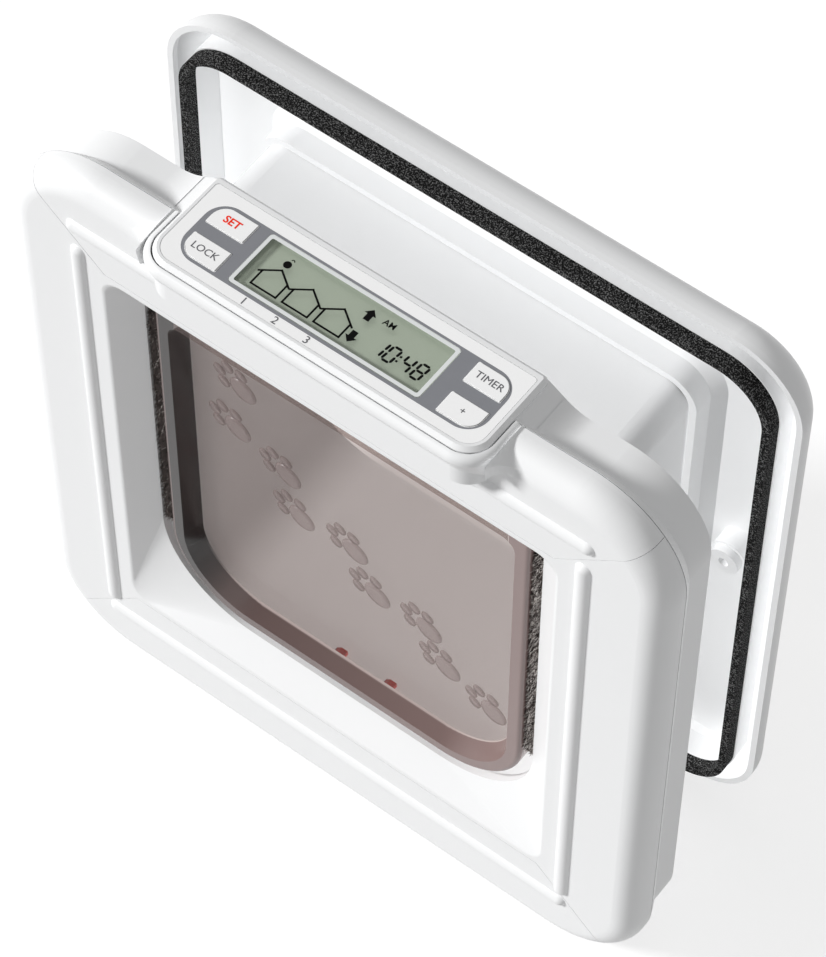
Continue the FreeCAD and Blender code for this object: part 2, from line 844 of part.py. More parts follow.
def build_front_bezel(shell):
    """White front with the sloping recess, a raised rib each side and the two pin sockets of the flap."""
    top = seam_wedge("bezel_top_cut", s.top_seam, s.top_mitre_slope, True, zero)
    low = seam_wedge("bezel_low_cut", s.low_seam, s.low_mitre_slope, False, zero)
    parted = combine("Part::Cut", "bezel_parted", combine("Part::Cut", "bezel_open_top", shell, top), low)
    body = new_body("front_bezel", parted)
    for side, sign in (("left", -1), ("right", 1)):
        bead = Bead(s.side_rib_place * sign, front_plane, True)
        pad_z(body, f"rib_{side}", -s.side_rib_drop, s.side_rib_top, bead)
    mouth = s.rim_half_width
    end = mouth + s.socket_length
    bottom = end - s.socket_floor
    socket = Disc(pivot_depth, s.pivot_height, s.socket_radius)
    hole = Disc(pivot_depth, s.pivot_height, s.pin_radius + s.pin_clearance)
    pad_x(body, "socket_right", mouth, end, socket)
    pocket_x(body, "socket_hole_right", mouth - OVERSHOOT, bottom, hole)
    pad_x(body, "socket_left", -end, -mouth, socket)
    pocket_x(body, "socket_hole_left", -bottom, -mouth + OVERSHOOT, hole)
    return body


bulge_back_corner = s.bulge_edge_round * 1.5
bulge_back = seam_plane + bulge_back_corner + OVERSHOOT


def bulge_plan(half_width, front, corner):
    """Plan of the swelling round the control housing, with its back corners behind the seam plane."""
    back_corner = bulge_back_corner
    return Outline(-half_width, half_width, -front, bulge_back, (corner, back_corner, back_corner, corner))


def bulge_form(opening):
    """The cover's swelling round the control housing by itself, with a rounded crown."""
    body = new_body("bulge_form")
    half = s.housing_half_width + opening + s.bulge_side
    front = s.housing_front + opening + s.bulge_front
    corner = s.housing_front_corner + opening + s.bulge_front
    shoulder = bulge_plan(half, front, corner)
    foot = bulge_plan(half - s.bulge_side, -front_plane - s.rib_root, s.bulge_foot_corner)
    sections = [(s.bulge_foot, foot), (s.bulge_shoulder, shoulder)]
    loft("PartDesign::AdditiveLoft", body, "bulge", "XY_Plane", sections)
    pad_z(body, "bulge_crown", s.bulge_shoulder, s.bulge_top, shoulder)
    round_edges(body, "bulge_edge", at_height(s.bulge_top), s.bulge_edge_round)
    reach = half + OVERSHOOT
    behind = rectangle(-reach, reach, s.bulge_foot - OVERSHOOT, s.bulge_top + OVERSHOOT)
    pocket_y(body, "bulge_trim", seam_plane, bulge_back + OVERSHOOT, behind)
    return body


def build_top_cover(shell):
    """Battery cover: the mitred top strip that swells out round the control housing."""
    opening = s.seam_gap * 2
    region = seam_wedge("cover_region", s.top_seam, s.top_mitre_slope, True, s.seam_gap)
    blank = combine("Part::Common", "cover_blank", shell, region)
    body = new_body("top_cover", combine("Part::Fuse", "cover_bulged", blank, bulge_form(opening)))
    rib = Bead(s.cover_rib_height, front_plane, False)
    pad_x(body, "cover_rib", -s.cover_rib_reach, s.cover_rib_reach, rib)
    clearance = housing_plan.grown(opening)
    pocket_z(body, "housing_clearance", s.housing_floor - OVERSHOOT, s.bulge_top + OVERSHOOT, clearance)
    bay_half = s.housing_half_width + opening + s.bulge_side + OVERSHOOT
    bay = rectangle(-bay_half, bay_half, front_plane + s.wall, seam_plane + OVERSHOOT)
    pocket_z(body, "bay_clearance", s.bulge_foot - s.bay_reach, s.housing_floor, bay)
    return body


def build_bottom_strip(shell):
    """Mitred strip below the opening with its long rib."""
    region = seam_wedge("strip_region", s.low_seam, s.low_mitre_slope, False, s.seam_gap)
    body = new_body("bottom_strip", combine("Part::Common", "strip_blank", shell, region))
    rib = Bead(-s.strip_rib_drop, front_plane, False)
    pad_x(body, "strip_rib", -s.strip_rib_reach, s.strip_rib_reach, rib)
    return body


def build_rear_casing():
    """Tray against the door with its flared band, battery shelf and the control housing on top."""
    body = new_body("rear_casing")
    inside = inside_chords(casing_outline.grown(-s.wall))
    band_edge = seam_plane + s.seam_gap
    pad_y(body, "tray", -s.casing_depth, door_plane, casing_outline)
    sections = [(s.casing_depth, casing_outline.grown(s.band_step)), (-band_edge, front_outline)]
    loft("PartDesign::AdditiveLoft", body, "band", "XZ_Plane", sections)
    pocket_y(body, "tray_hollow", -s.casing_depth - s.seam_gap * 2, -s.wall, inside)
    hollow_sections = [(s.casing_depth, inside), (-band_edge, inside_chords(front_outline.grown(-s.wall)))]
    loft("PartDesign::SubtractiveLoft", body, "band_hollow", "XZ_Plane", hollow_sections)
    liner_hole = liner_outline.grown(s.slide_gap)
    pocket_y(body, "liner_hole", -s.wall - OVERSHOOT, door_plane + OVERSHOOT, liner_hole)
    add_control_housing(body)
    add_battery_shelf(body)
    boss_front = -s.wall - s.fixing_boss_rise
    for side, sign in (("left", -1), ("right", 1)):
        boss = Disc(s.fixing_place * sign, 0, s.fixing_boss)
        hole = Disc(s.fixing_place * sign, 0, s.fixing_hole)
        pad_y(body, f"fixing_boss_{side}", boss_front, -s.wall / 2, boss)
        pocket_y(body, f"fixing_hole_{side}", boss_front - OVERSHOOT, door_plane + OVERSHOOT, hole)
    return body


def add_control_housing(body):
    """Housing for the display and keys, with a lip round its panel, open to the tray below."""
    pad_z(body, "housing", s.housing_floor, s.housing_top, housing_plan)
    bevel_edges(body, "housing_edge", at_height(s.housing_top), s.housing_edge_round)
    for side, sign in (("left", -1), ("right", 1)):
        flank, foot = s.housing_half_width - s.housing_wall / 2, s.housing_half_width + s.flare_reach
        flare = Polygon(
            (flank * sign, s.housing_top - s.flare_fall),
            (foot * sign, s.casing_top - s.flare_sink),
            (flank * sign, s.casing_top - s.wall / 2),
        )
        pad_y(body, f"housing_flare_{side}", seam_plane + s.seam_gap, door_plane, flare)
    hollow = inside_chords(housing_plan.grown(-s.housing_wall))
    pocket_z(body, "housing_hollow", s.housing_floor - OVERSHOOT, housing_ceiling, hollow)
    pocket_z(body, "panel_recess", panel_under, s.housing_top + OVERSHOOT, panel_plan)
    hole_low, hole_high = housing_ceiling - OVERSHOOT, panel_under + OVERSHOOT
    pocket_z(body, "window_hole", hole_low, hole_high, pane_hole)
    for name, plan in key_plans().items():
        pocket_z(body, f"{name}_hole", hole_low, hole_high, plan)
    anchor = housing_ceiling + s.housing_wall / 2
    wall_middle = -s.housing_front + s.housing_wall / 2
    ledge = rectangle(-s.ledge_reach, s.ledge_reach, wall_middle, board_front + s.ledge_width)
    pad_z(body, "board_ledge", s.board_top, anchor, ledge)
    for side, sign in (("left", -1), ("right", 1)):
        place = s.board_screw_place * sign
        post = square(place, -s.board_screw_depth, s.board_post)
        pad_z(body, f"board_post_{side}", s.board_top, anchor, post)
        pilot = Disc(place, -s.board_screw_depth, s.board_screw + s.pin_clearance)
        pilot_top = housing_ceiling - s.housing_wall
        pocket_z(body, f"board_pilot_{side}", s.board_top - OVERSHOOT, pilot_top, pilot)


def add_battery_shelf(body):
    """Shelf with end walls and a divider that carries the row of cells behind the top cover."""
    top = s.cell_height - s.cell_radius - s.seam_gap
    row = cell_row_half()
    back = -s.wall / 2
    low = top - s.shelf_thick
    wall_top = s.cell_height + s.cell_radius / 2
    front = -s.cell_depth - s.cell_radius
    end = row + s.shelf_thick
    pad_y(body, "battery_shelf", front, back, rectangle(-end, end, low, top))
    for name, near, far in (
        ("divider", -s.shelf_thick / 2, s.shelf_thick / 2),
        ("end_left", -end, -row),
        ("end_right", row, end),
    ):
        pad_y(body, f"battery_{name}", front, back, rectangle(near, far, low, wall_top))


def cell_row_half():
    """Half the length of the row: two cells with a contact at each end, outside the divider."""
    return s.shelf_thick / 2 + (s.cell_length + s.contact_thick) * 2 + s.slide_gap * 2


def build_tunnel_liner():
    """Four-sided tunnel from the casing through the door into the outdoor frame."""
    body = new_body("tunnel_liner")
    inside = liner_outline.grown(-s.liner_wall)
    pad_y(body, "tunnel", seam_plane + s.seam_gap, s.liner_reach, liner_outline, inside)
    flange_back = -s.wall - s.pin_clearance
    flange = inside_chords(liner_outline.grown(s.liner_flange))
    pad_y(body, "flange", flange_back - s.liner_flange_thick, flange_back, flange, inside)
    slot_low = -s.liner_drop - OVERSHOOT
    slot_high = -s.liner_drop + s.liner_wall + OVERSHOOT
    for side, sign in (("left", -1), ("right", 1)):
        pocket_z(body, f"pawl_slot_{side}", slot_low, slot_high, pawl_way(sign))
        notch = Disc(pivot_depth, s.pivot_height, s.socket_radius + s.slide_gap)
        reach = s.rim_half_width + s.socket_length + s.slide_gap
        left, right = (s.rim_half_width, reach) if sign > 0 else (-reach, -s.rim_half_width)
        pocket_x(body, f"socket_notch_{side}", left, right, notch)
    return body


def pawl_way(sign):
    """Plan of the slot that a pawl slides in."""
    half = s.pawl_half_width + s.slide_gap
    place = s.pawl_place * sign
    return rectangle(place - half, place + half, -s.pawl_front - s.slide_gap, -s.pawl_back + s.slide_gap)


def build_flap():
    """Smoky flap: a thick border that slopes in to a thin sheet, with two stub pins at its head."""
    body = new_body("flap")
    front, back = -s.flap_front, -s.flap_back
    pad_y(body, "flap_block", front, back, flap_outline)
    half = s.flap_half_width - s.flap_border
    low = -s.flap_drop + s.flap_border
    high = s.flap_top - s.flap_head
    inner_corner = s.flap_low_corner - s.flap_border
    wide = even_outline(half, low, high, inner_corner, s.flap_top_corner)
    slope = s.flap_border_slope
    narrow = even_outline(half - slope, low + slope / 2, high - slope / 2, inner_corner, s.flap_top_corner)
    sections = [(s.flap_front, wide), (s.flap_back + s.flap_sheet, narrow)]
    loft("PartDesign::SubtractiveLoft", body, "flap_window", "XZ_Plane", sections)
    edge_of_flap = s.flap_half_width.amount - s.flap_border.amount + TINY

    def is_outer(edge):
        return lies_at_depth(edge, front) and not lies_within(edge, edge_of_flap, wide)

    round_edges(body, "flap_front_edge", is_outer, s.flap_edge_round)
    bevel_edges(body, "flap_back_edge", at_depth(back), s.flap_edge_round / 2)
    pin = Disc(pivot_depth, s.pivot_height, s.pin_radius)
    pin_root, pin_end = s.flap_half_width - OVERSHOOT, s.flap_half_width + s.pin_reach
    pad_x(body, "pin_right", pin_root, pin_end, pin)
    pad_x(body, "pin_left", -pin_end, -pin_root, pin)
    slot_top = -s.flap_drop + s.magnet_height + s.slide_gap
    pocket_z(body, "magnet_slot", -s.flap_drop - OVERSHOOT, slot_top, magnet_plan(s.slide_gap))
    return body


def magnet_plan(margin):
    """Plan of the bar magnet in the middle of the flap's lower border."""
    half = s.magnet_half_width + margin
    deep = s.magnet_depth / 2 + margin
    return rectangle(-half, half, pivot_depth - deep, pivot_depth + deep)


def build_flap_magnet():
    """Bar magnet pressed up into the slot of the flap's lower border."""
    body = new_body("flap_magnet")
    low = -s.flap_drop + s.slide_gap / 2
    pad_z(body, "magnet_bar", low, low + s.magnet_height, magnet_plan(zero))
    return body


def build_sill_magnet():
    """Bar magnet under the tunnel floor, straight below the one in the flap."""
    body = new_body("sill_magnet")
    high = -s.liner_drop - s.slide_gap
    pad_z(body, "sill_bar", high - s.magnet_height, high, sill_magnet_plan(zero))
    return body


def sill_magnet_plan(margin):
    """Plan of the sill magnet in its cradle at the front of the latch housing."""
    half = s.magnet_half_width + margin
    front = -s.latch_front + s.latch_wall / 2
    return rectangle(-half, half, front - margin, front + s.magnet_depth - s.latch_wall / 2 + margin)


def build_brush_strip(name, sign):
    """Pile seal beside the flap: its back is stuck to the tunnel wall and its pile reaches the flap."""
    body = new_body(name)
    tip = s.flap_half_width + s.side_clearance
    root = s.liner_half_width - s.liner_wall - s.pin_clearance
    lip = s.rim_half_width - s.side_clearance
    back_start = seam_plane + s.seam_gap
    pile = Polygon(
        (tip * sign, -s.brush_front),
        (lip * sign, -s.brush_front),
        (lip * sign, back_start),
        (root * sign, back_start),
        (root * sign, -s.brush_back),
        (tip * sign, -s.brush_back),
    )
    pad_z(body, f"{name}_pile", -s.brush_drop, s.brush_top, pile)
    return body


def build_panel_overlay():
    """Thin white plate in the housing's recess, with its window and four key holes."""
    body = new_body("panel_overlay")
    plate = panel_plan.grown(-s.slide_gap)
    holes = [window_plan.grown(s.slide_gap), *key_plans().values()]
    pad_z(body, "plate", panel_under, s.housing_top - s.slide_gap / 2, plate, *holes)
    return body


def build_display_window():
    """Clear pane over the display, flush with the plate."""
    body = new_body("display_window")
    pad_z(body, "pane", s.housing_top - s.window_thick, s.housing_top, window_plan)
    return body


def build_lcd_module():
    """Display glass on the board, just below its window."""
    body = new_body("lcd_module")
    under = s.housing_top - s.window_thick - s.slide_gap
    plan = window_plan.grown(-s.slide_gap)
    pad_z(body, "lcd_glass", s.board_top, under, rectangle(plan.left, plan.right, plan.low, plan.high))
    return body


def build_key(name, plan):
    """Key cap with a flange under the housing's ceiling and a stem above its switch."""
    body = new_body(name)
    flange_top = housing_ceiling - s.key_rest_gap
    flange_low = flange_top - s.key_flange_thick
    flange = plan.grown(s.key_flange)
    skirt = rectangle(flange.left, flange.right, flange.low, flange.high)
    pad_z(body, f"{name}_flange", flange_low, flange_top, skirt)
    cap_low, cap_high = flange_top - s.key_flange_thick / 2, s.housing_top + s.key_rise
    pad_z(body, f"{name}_cap", cap_low, cap_high, plan.grown(-s.slide_gap))
    stem_low = switch_top + s.key_travel + s.key_rest_gap
    x, y = middle_of(plan)
    stem_high = flange_low + s.key_flange_thick / 2
    pad_z(body, f"{name}_stem", stem_low, stem_high, square(x, y, s.switch_plunger))
    return body


def middle_of(plan):
    """Centre of an outline."""
    return (plan.left + plan.right) / 2, (plan.low + plan.high) / 2


def build_tact_switches():
    """Four tactile switches on the board, one under each key."""
    cans = []
    for name, plan in key_plans().items():
        x, y = middle_of(plan)
        body = new_body(f"{name}_switch")
        half = s.switch_half_width
        can_top = s.board_top + s.switch_height
        pad_z(body, f"{name}_can", s.board_top, can_top, square(x, y, half))
        pad_z(body, f"{name}_plunger", can_top, switch_top, square(x, y, s.switch_plunger))
        cans.append(body)
    return group("tact_switches", cans)


def build_circuit_board():
    """Board with its chips on the underside, screwed to the posts below the housing's ceiling."""
    body = new_body("circuit_board")
    half = s.housing_half_width - s.housing_wall - s.board_margin
    corner = s.housing_front_corner - s.housing_wall - s.board_margin
    small = s.key_corner
    back = -s.housing_wall - s.board_margin
    plan = Outline(-half, half, board_front, back, (corner, small, small, corner))
    bore = s.board_screw + s.slide_gap
    holes = [Disc(s.board_screw_place * sign, -s.board_screw_depth, bore) for sign in (-1, 1)]
    pad_z(body, "board", board_under, s.board_top, inside_chords(plan), *holes)
    chip_front = board_front + s.chip_margin
    chip = rectangle(-s.chip_half_width, s.chip_half_width, chip_front, chip_front + s.chip_depth)
    pad_z(body, "chip", board_under - s.chip_height, board_under, chip)
    return body


def build_board_screws():
    """Two pan-head screws from below that hold the board up against its posts."""
    length = s.board_thick + s.board_screw_bite
    shank = s.board_screw
    screws = []
    for side, sign in (("left", -1), ("right", 1)):
        x, y = s.board_screw_place * sign, -s.board_screw_depth
        body = new_body(f"board_screw_{side}")
        head_low = board_under - shank * SCREW_HEAD_HEIGHT
        pad_z(body, f"screw_head_{side}", head_low, board_under, Disc(x, y, shank * SCREW_HEAD_SPREAD))
        pad_z(body, f"screw_shank_{side}", board_under, board_under + length, Disc(x, y, shank))
        screws.append(body)
    return group("board_screws", screws)


def build_battery_cells():
    """Four cells in one row, two each side of the divider."""
    cells = []
    start = s.shelf_thick / 2 + s.slide_gap + s.contact_thick
    for side, sign in (("left", -1), ("right", 1)):
        for number in (0, 1):
            near = start + s.cell_length * number
            far = near + s.cell_length
            body = new_body(f"cell_{side}_{number}")
            can = Disc(-s.cell_depth, s.cell_height, s.cell_radius)
            cap = Disc(-s.cell_depth, s.cell_height, s.cell_nipple)
            shoulder = far - s.cell_nipple_rise
            if sign > 0:
                pad_x(body, f"can_{side}_{number}", near, shoulder, can)
                pad_x(body, f"cap_{side}_{number}", shoulder, far, cap)
            else:
                pad_x(body, f"can_{side}_{number}", -shoulder, -near, can)
                pad_x(body, f"cap_{side}_{number}", -far, -shoulder, cap)
            cells.append(body)
    return group("battery_cells", cells)


def build_battery_contacts():
    """Spring-steel plates at both ends of each pair of cells."""
    plates = []
    near = s.shelf_thick / 2
    far = cell_row_half() - s.contact_thick
    half = s.cell_radius * SHARE_OF_CELL
    low, high = s.cell_height - half, s.cell_height + half
    for number, start in enumerate((-far - s.contact_thick, -near - s.contact_thick, near, far)):
        body = new_body(f"contact_{number}")
        face = rectangle(-s.cell_depth - half, -s.cell_depth + half, low, high)
        pad_x(body, f"contact_plate_{number}", start, start + s.contact_thick, face)
        plates.append(body)
    return group("battery_contacts", plates)


def build_sensor_coil():
    """Flat winding round the tunnel that reads the tag on the collar."""
    body = new_body("sensor_coil")
    inner = liner_outline.grown(s.side_clearance)
    pad_y(body, "winding", -s.sensor_front, -s.sensor_back, inner.grown(s.sensor_thick), inner)
    return body


def build_latch_housing():
    """Box below the sill that guides the pawls and holds the two solenoids and the sill magnet."""
    body = new_body("latch_housing")
    half, wall = s.latch_half_width, s.latch_wall
    front, back = -s.latch_front, -s.latch_back
    pad_z(body, "latch_box", -s.latch_drop, -s.latch_roof, rectangle(-half, half, front, back))
    cradle_half = s.magnet_half_width + wall
    cradle = rectangle(-cradle_half, cradle_half, front, -s.pawl_front - s.seam_gap)
    cradle_top = -s.liner_drop - s.slide_gap
    pad_z(body, "magnet_cradle", -s.latch_roof - wall / 2, cradle_top, cradle)
    bar_low = cradle_top - s.magnet_height
    seat = sill_magnet_plan(s.slide_gap)
    pocket_z(body, "magnet_seat", bar_low - s.slide_gap, cradle_top + OVERSHOOT, seat)
    for side, sign in (("left", -1), ("right", 1)):
        bay_near, bay_far = wall / 2, half - wall
        low_x, high_x = (bay_near, bay_far) if sign > 0 else (-bay_far, -bay_near)
        bay = rectangle(low_x, high_x, front + wall, back + OVERSHOOT)
        pocket_z(body, f"bay_{side}", -s.latch_drop + wall, -s.latch_roof - wall, bay)
        guide_low, guide_high = -s.latch_roof - wall - OVERSHOOT, -s.latch_roof + OVERSHOOT
        pocket_z(body, f"guide_{side}", guide_low, guide_high, pawl_way(sign))
    return body


def build_pawl(name, sign):
    """Red latch pawl: a tip with a sloped crown, a blade through its guide and a broad foot."""
    body = new_body(name)
    place, half, foot = s.pawl_place * sign, s.pawl_half_width, s.pawl_foot_half_width
    crown = s.pawl_crown
    profile = Polygon(
        (place - half, -s.pawl_foot_top),
        (place - half, -s.pawl_tip - crown),
        (place - half + crown, -s.pawl_tip),
        (place + half, -s.pawl_tip),
        (place + half, -s.pawl_foot_top),
        (place + foot, -s.pawl_foot_top),
        (place + foot, -s.pawl_foot_drop),
        (place - foot, -s.pawl_foot_drop),
        (place - foot, -s.pawl_foot_top),
    )
    pad_y(body, f"{name}_blade", -s.pawl_front, -s.pawl_back, profile)
    return body


def build_latch_solenoids():
    """Two upright solenoids under the pawls, each a wound body on a square base."""
    coils = []
    for side, sign in (("left", -1), ("right", 1)):
        place = s.pawl_place * sign
        depth = -(s.latch_front - s.latch_wall + s.latch_back) / 2
        low = -s.latch_drop + s.latch_wall
        body = new_body(f"solenoid_{side}")
        half = s.coil_radius
        pad_z(body, f"base_{side}", low, low + s.coil_base, square(place, depth, half))
        winding_top = -s.pawl_foot_drop - s.key_rest_gap
        pad_z(body, f"winding_{side}", low + s.coil_base, winding_top, Disc(place, depth, half))
        coils.append(body)
    return group("latch_solenoids", coils)


def build_outdoor_frame():
    """Outdoor moulding: lip, gasket ring, sleeve round the tunnel and two screw bosses."""
    front, back = s.outer_front, s.outer_back
    solid = new_body("outdoor_form")
    pad_y(solid, "block", front, back, outer_outline)
    round_edges(solid, "outer_edge", at_depth(back), s.outer_edge_round)
    cavity = new_body("outdoor_cavity")
    pad_y(cavity, "trough", front - OVERSHOOT, floor_plane, outer_outline.grown(-s.outer_wall))
    trough_round = s.outer_edge_round - s.outer_wall
    bevel_edges(cavity, "trough_edge", at_depth(floor_plane), trough_round)
    body = new_body("outdoor_frame", combine("Part::Cut", "outdoor_tray", solid, cavity))
    sleeve_inside = liner_outline.grown(s.sleeve_gap)
    sleeve_outside = sleeve_inside.grown(s.sleeve_wall)
    ring_front = s.gasket_front + s.gasket_thick
    root = floor_plane + s.floor_thick / 2
    pad_y(body, "sleeve", front, root, sleeve_outside, sleeve_inside)
    spread = sleeve_outside.grown(s.sleeve_foot)
    foot = [(-floor_plane, spread), (s.sleeve_foot - floor_plane, sleeve_outside)]
    loft("PartDesign::AdditiveLoft", body, "sleeve_foot", "XZ_Plane", foot)
    ring_inside = gasket_outline.grown(-s.gasket_width)
    pad_y(body, "ring", ring_front, root, gasket_outline.grown(s.ring_margin), ring_inside)
    for side, sign in (("left", -1), ("right", 1)):
        place = s.fixing_place * sign
        step = s.screw_boss_front + s.screw_boss_step
        pad_y(body, f"boss_{side}", step, root, Disc(place, 0, s.screw_boss_radius))
        pad_y(body, f"boss_nose_{side}", s.screw_boss_front, step, Disc(place, 0, s.screw_boss_nose))
        pilot = Disc(place, 0, s.screw_pilot)
        pilot_end = s.screw_boss_front + s.screw_pilot_depth
        pocket_y(body, f"boss_pilot_{side}", s.screw_boss_front - OVERSHOOT, pilot_end, pilot)
    pocket_y(body, "passage", front - OVERSHOOT, back + OVERSHOOT, sleeve_inside)
    return body


def build_foam_gasket():
    """Black foam ring on the front of the gasket ring."""
    body = new_body("foam_gasket")
    inside = gasket_outline.grown(-s.gasket_width)
    pad_y(body, "foam", s.gasket_front, s.gasket_front + s.gasket_thick, gasket_outline, inside)
    return body


def group(name, members):
    """Several separate solids that share one node."""
    result = DOC.addObject("Part::Compound", name)
    result.Links = members
    result.Label = name
    return result


def build_all():
    """Every sub-part of the cat flap."""
    shell = front_form()
    parts = [
        build_front_bezel(shell),
        build_top_cover(shell),
        build_bottom_strip(shell),
        build_rear_casing(),
        build_tunnel_liner(),
        build_flap(),
        build_flap_magnet(),
        build_sill_magnet(),
        build_brush_strip("brush_strip_left", -1),
        build_brush_strip("brush_strip_right", 1),
        build_panel_overlay(),
        build_display_window(),
        build_lcd_module(),
        build_tact_switches(),
        build_circuit_board(),
        build_board_screws(),
        build_battery_cells(),
        build_battery_contacts(),
        build_sensor_coil(),
        build_latch_housing(),
        build_pawl("latch_pawl_left", -1),
        build_pawl("latch_pawl_right", 1),
        build_latch_solenoids(),
        build_outdoor_frame(),
        build_foam_gasket(),
    ]
    parts.extend(build_key(name, plan) for name, plan in key_plans().items())
    return parts


def check(parts):
    """Stop if any object failed or any sub-part has no sound shape."""
    for item in DOC.Objects:
        if "Invalid" in item.State or "Error" in item.State:
            raise RuntimeError(f"{item.Name} failed: {item.State}")
    for part in parts:
        if part.Shape.isNull() or not part.Shape.isValid():
            raise RuntimeError(f"{part.Label} has no sound shape")


def main():
    parts = build_all()
    DOC.recompute()
    check(parts)
    os.makedirs("parts", exist_ok=True)
    for part in parts:
        part.Shape.exportStep(f"parts/{part.Label}.step")
        box = part.Shape.optimalBoundingBox()
        print(
            f"{part.Label}: {len(part.Shape.Solids)} solid, {part.Shape.Volume / 1000:.2f} cm3, "
            f"x {box.XMin:.1f} to {box.XMax:.1f}, y {box.YMin:.1f} to {box.YMax:.1f}, "
            f"z {box.ZMin:.1f} to {box.ZMax:.1f}"
        )


if __name__ == "__main__":
    main()
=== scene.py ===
"""Electronic cat flap with its display panel, smoky flap and outdoor frame.

Lengths are metres unless a name says millimetres. X runs across the door, +Y leads outdoors and
+Z is up. The origin lies where the casing meets the door, midway between the two fixing holes.
"""

import json
import logging
import math
import random
from dataclasses import dataclass, field
from enum import Enum

import bmesh
import bpy
from mathutils import Matrix, Vector

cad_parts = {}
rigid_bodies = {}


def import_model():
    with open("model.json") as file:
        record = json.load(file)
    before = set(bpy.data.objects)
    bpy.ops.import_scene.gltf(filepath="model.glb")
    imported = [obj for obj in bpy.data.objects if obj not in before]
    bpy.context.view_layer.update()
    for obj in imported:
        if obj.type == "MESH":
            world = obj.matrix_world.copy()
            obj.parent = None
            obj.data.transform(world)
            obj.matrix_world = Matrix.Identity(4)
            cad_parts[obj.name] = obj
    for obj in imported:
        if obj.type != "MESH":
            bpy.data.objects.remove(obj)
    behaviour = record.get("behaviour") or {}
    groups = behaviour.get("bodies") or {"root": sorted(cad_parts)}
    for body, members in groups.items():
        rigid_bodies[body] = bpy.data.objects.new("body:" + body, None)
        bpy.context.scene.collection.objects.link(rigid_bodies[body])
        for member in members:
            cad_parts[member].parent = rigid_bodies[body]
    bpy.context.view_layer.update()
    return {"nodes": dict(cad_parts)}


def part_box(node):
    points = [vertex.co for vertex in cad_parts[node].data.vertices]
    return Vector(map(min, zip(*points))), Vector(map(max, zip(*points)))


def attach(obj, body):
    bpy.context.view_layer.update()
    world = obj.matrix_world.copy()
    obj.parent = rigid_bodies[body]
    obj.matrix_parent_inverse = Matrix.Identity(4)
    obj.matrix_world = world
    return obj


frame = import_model()

LOG = logging.getLogger("cat_flap")
MM = 0.001
PHOTO_WIDTH = 826
PHOTO_HEIGHT = 957
LETTER_DEPTH = 0.00003
CAPITAL_SHARE = 0.72
SHARP_ANGLE = 35.0
LEVEL_LIMIT = 0.01

Colour = tuple[float, float, float]
Point2 = tuple[float, float]


class Moves(Enum):
    """The CAD bodies that pieces ride on."""

    CASING = "casing"
    FLAP = "swinging_flap"
    OUTDOOR = "outdoor_half"
    COVER = "battery_cover"
    SET = "key_set"
    LOCK = "key_lock"
    TIMER = "key_timer"
    PLUS = "key_plus"


class Lit(Enum):
    """The groups of pieces that have a key lamp each."""

    INDOORS = "indoors"
    OUTDOORS = "outdoors"
    FLOOR = "floor"


# Finishes


@dataclass(frozen=True)
class Finish:
    """A procedural finish: a base colour that wanders a little, over a fine grain.

    Args:
        name: the material's name.
        colour: linear base colour.
        wander: how far the colour drifts from the base, as a share of it.
        wander_scale: noise scale of that drift, in cycles a metre.
        roughness: the lower and the upper roughness.
        grain_scale: noise scale of the bump, in cycles a metre.
        grain_depth: height of the bump in metres.
        metallic: share of metal.
        coat: weight of the clear coat.
        specular: specular level of the shader.
    """

    name: str
    colour: Colour
    wander: float = 0.03
    wander_scale: float = 40.0
    roughness: tuple[float, float] = (0.3, 0.4)
    grain_scale: float = 1500.0
    grain_depth: float = 0.00001
    metallic: float = 0.0
    coat: float = 0.0
    specular: float = 0.5

    def material(self) -> bpy.types.Material:
        """Build the node material, or return the one already made.

        Returns:
            The material.
        """
        title = f"{self.name}_finish"
        made = bpy.data.materials.get(title)
        if made is None:
            made = bpy.data.materials.new(title)
            made.use_nodes = True
            self.wire(made.node_tree)
        return made

    def wire(self, tree: bpy.types.NodeTree) -> None:
        """Lay out the nodes: drifting colour, drifting roughness and grain.

        Args:
            tree: the material's node tree.
        """
        nodes, links = tree.nodes, tree.links
        shader = nodes["Principled BSDF"]
        place = nodes.new("ShaderNodeTexCoord")
        drift = noise_node(tree, place, self.wander_scale, 3.0)
        links.new(self.drifted_colour(tree, drift), shader.inputs["Base Color"])
        rough = nodes.new("ShaderNodeMapRange")
        rough.inputs["To Min"].default_value = self.roughness[0]
        rough.inputs["To Max"].default_value = self.roughness[1]
        links.new(drift.outputs["Fac"], rough.inputs["Value"])
        links.new(rough.outputs["Result"], shader.inputs["Roughness"])
        grain = noise_node(tree, place, self.grain_scale, 2.0)
        bump = nodes.new("ShaderNodeBump")
        bump.inputs["Distance"].default_value = self.grain_depth
        links.new(grain.outputs["Fac"], bump.inputs["Height"])
        links.new(bump.outputs["Normal"], shader.inputs["Normal"])
        shader.inputs["Metallic"].default_value = self.metallic
        shader.inputs["Coat Weight"].default_value = self.coat
        shader.inputs["Specular IOR Level"].default_value = self.specular

    def drifted_colour(
        self, tree: bpy.types.NodeTree, drift: bpy.types.Node
    ) -> bpy.types.NodeSocket:
        """Mix two tints of the base colour by the drift noise.

        Args:
            tree: the material's node tree.
            drift: the noise that the finish wanders by.

        Returns:
            The colour output of the mix.
        """
        mix = tree.nodes.new("ShaderNodeMix")
        mix.data_type = "RGBA"
        low = tuple(c * (1 - self.wander) for c in self.colour)
        high = tuple(min(1.0, c * (1 + self.wander)) for c in self.colour)
        mix.inputs["A"].default_value = (*low, 1)
        mix.inputs["B"].default_value = (*high, 1)
        tree.links.new(drift.outputs["Fac"], mix.inputs["Factor"])
        return mix.outputs["Result"]


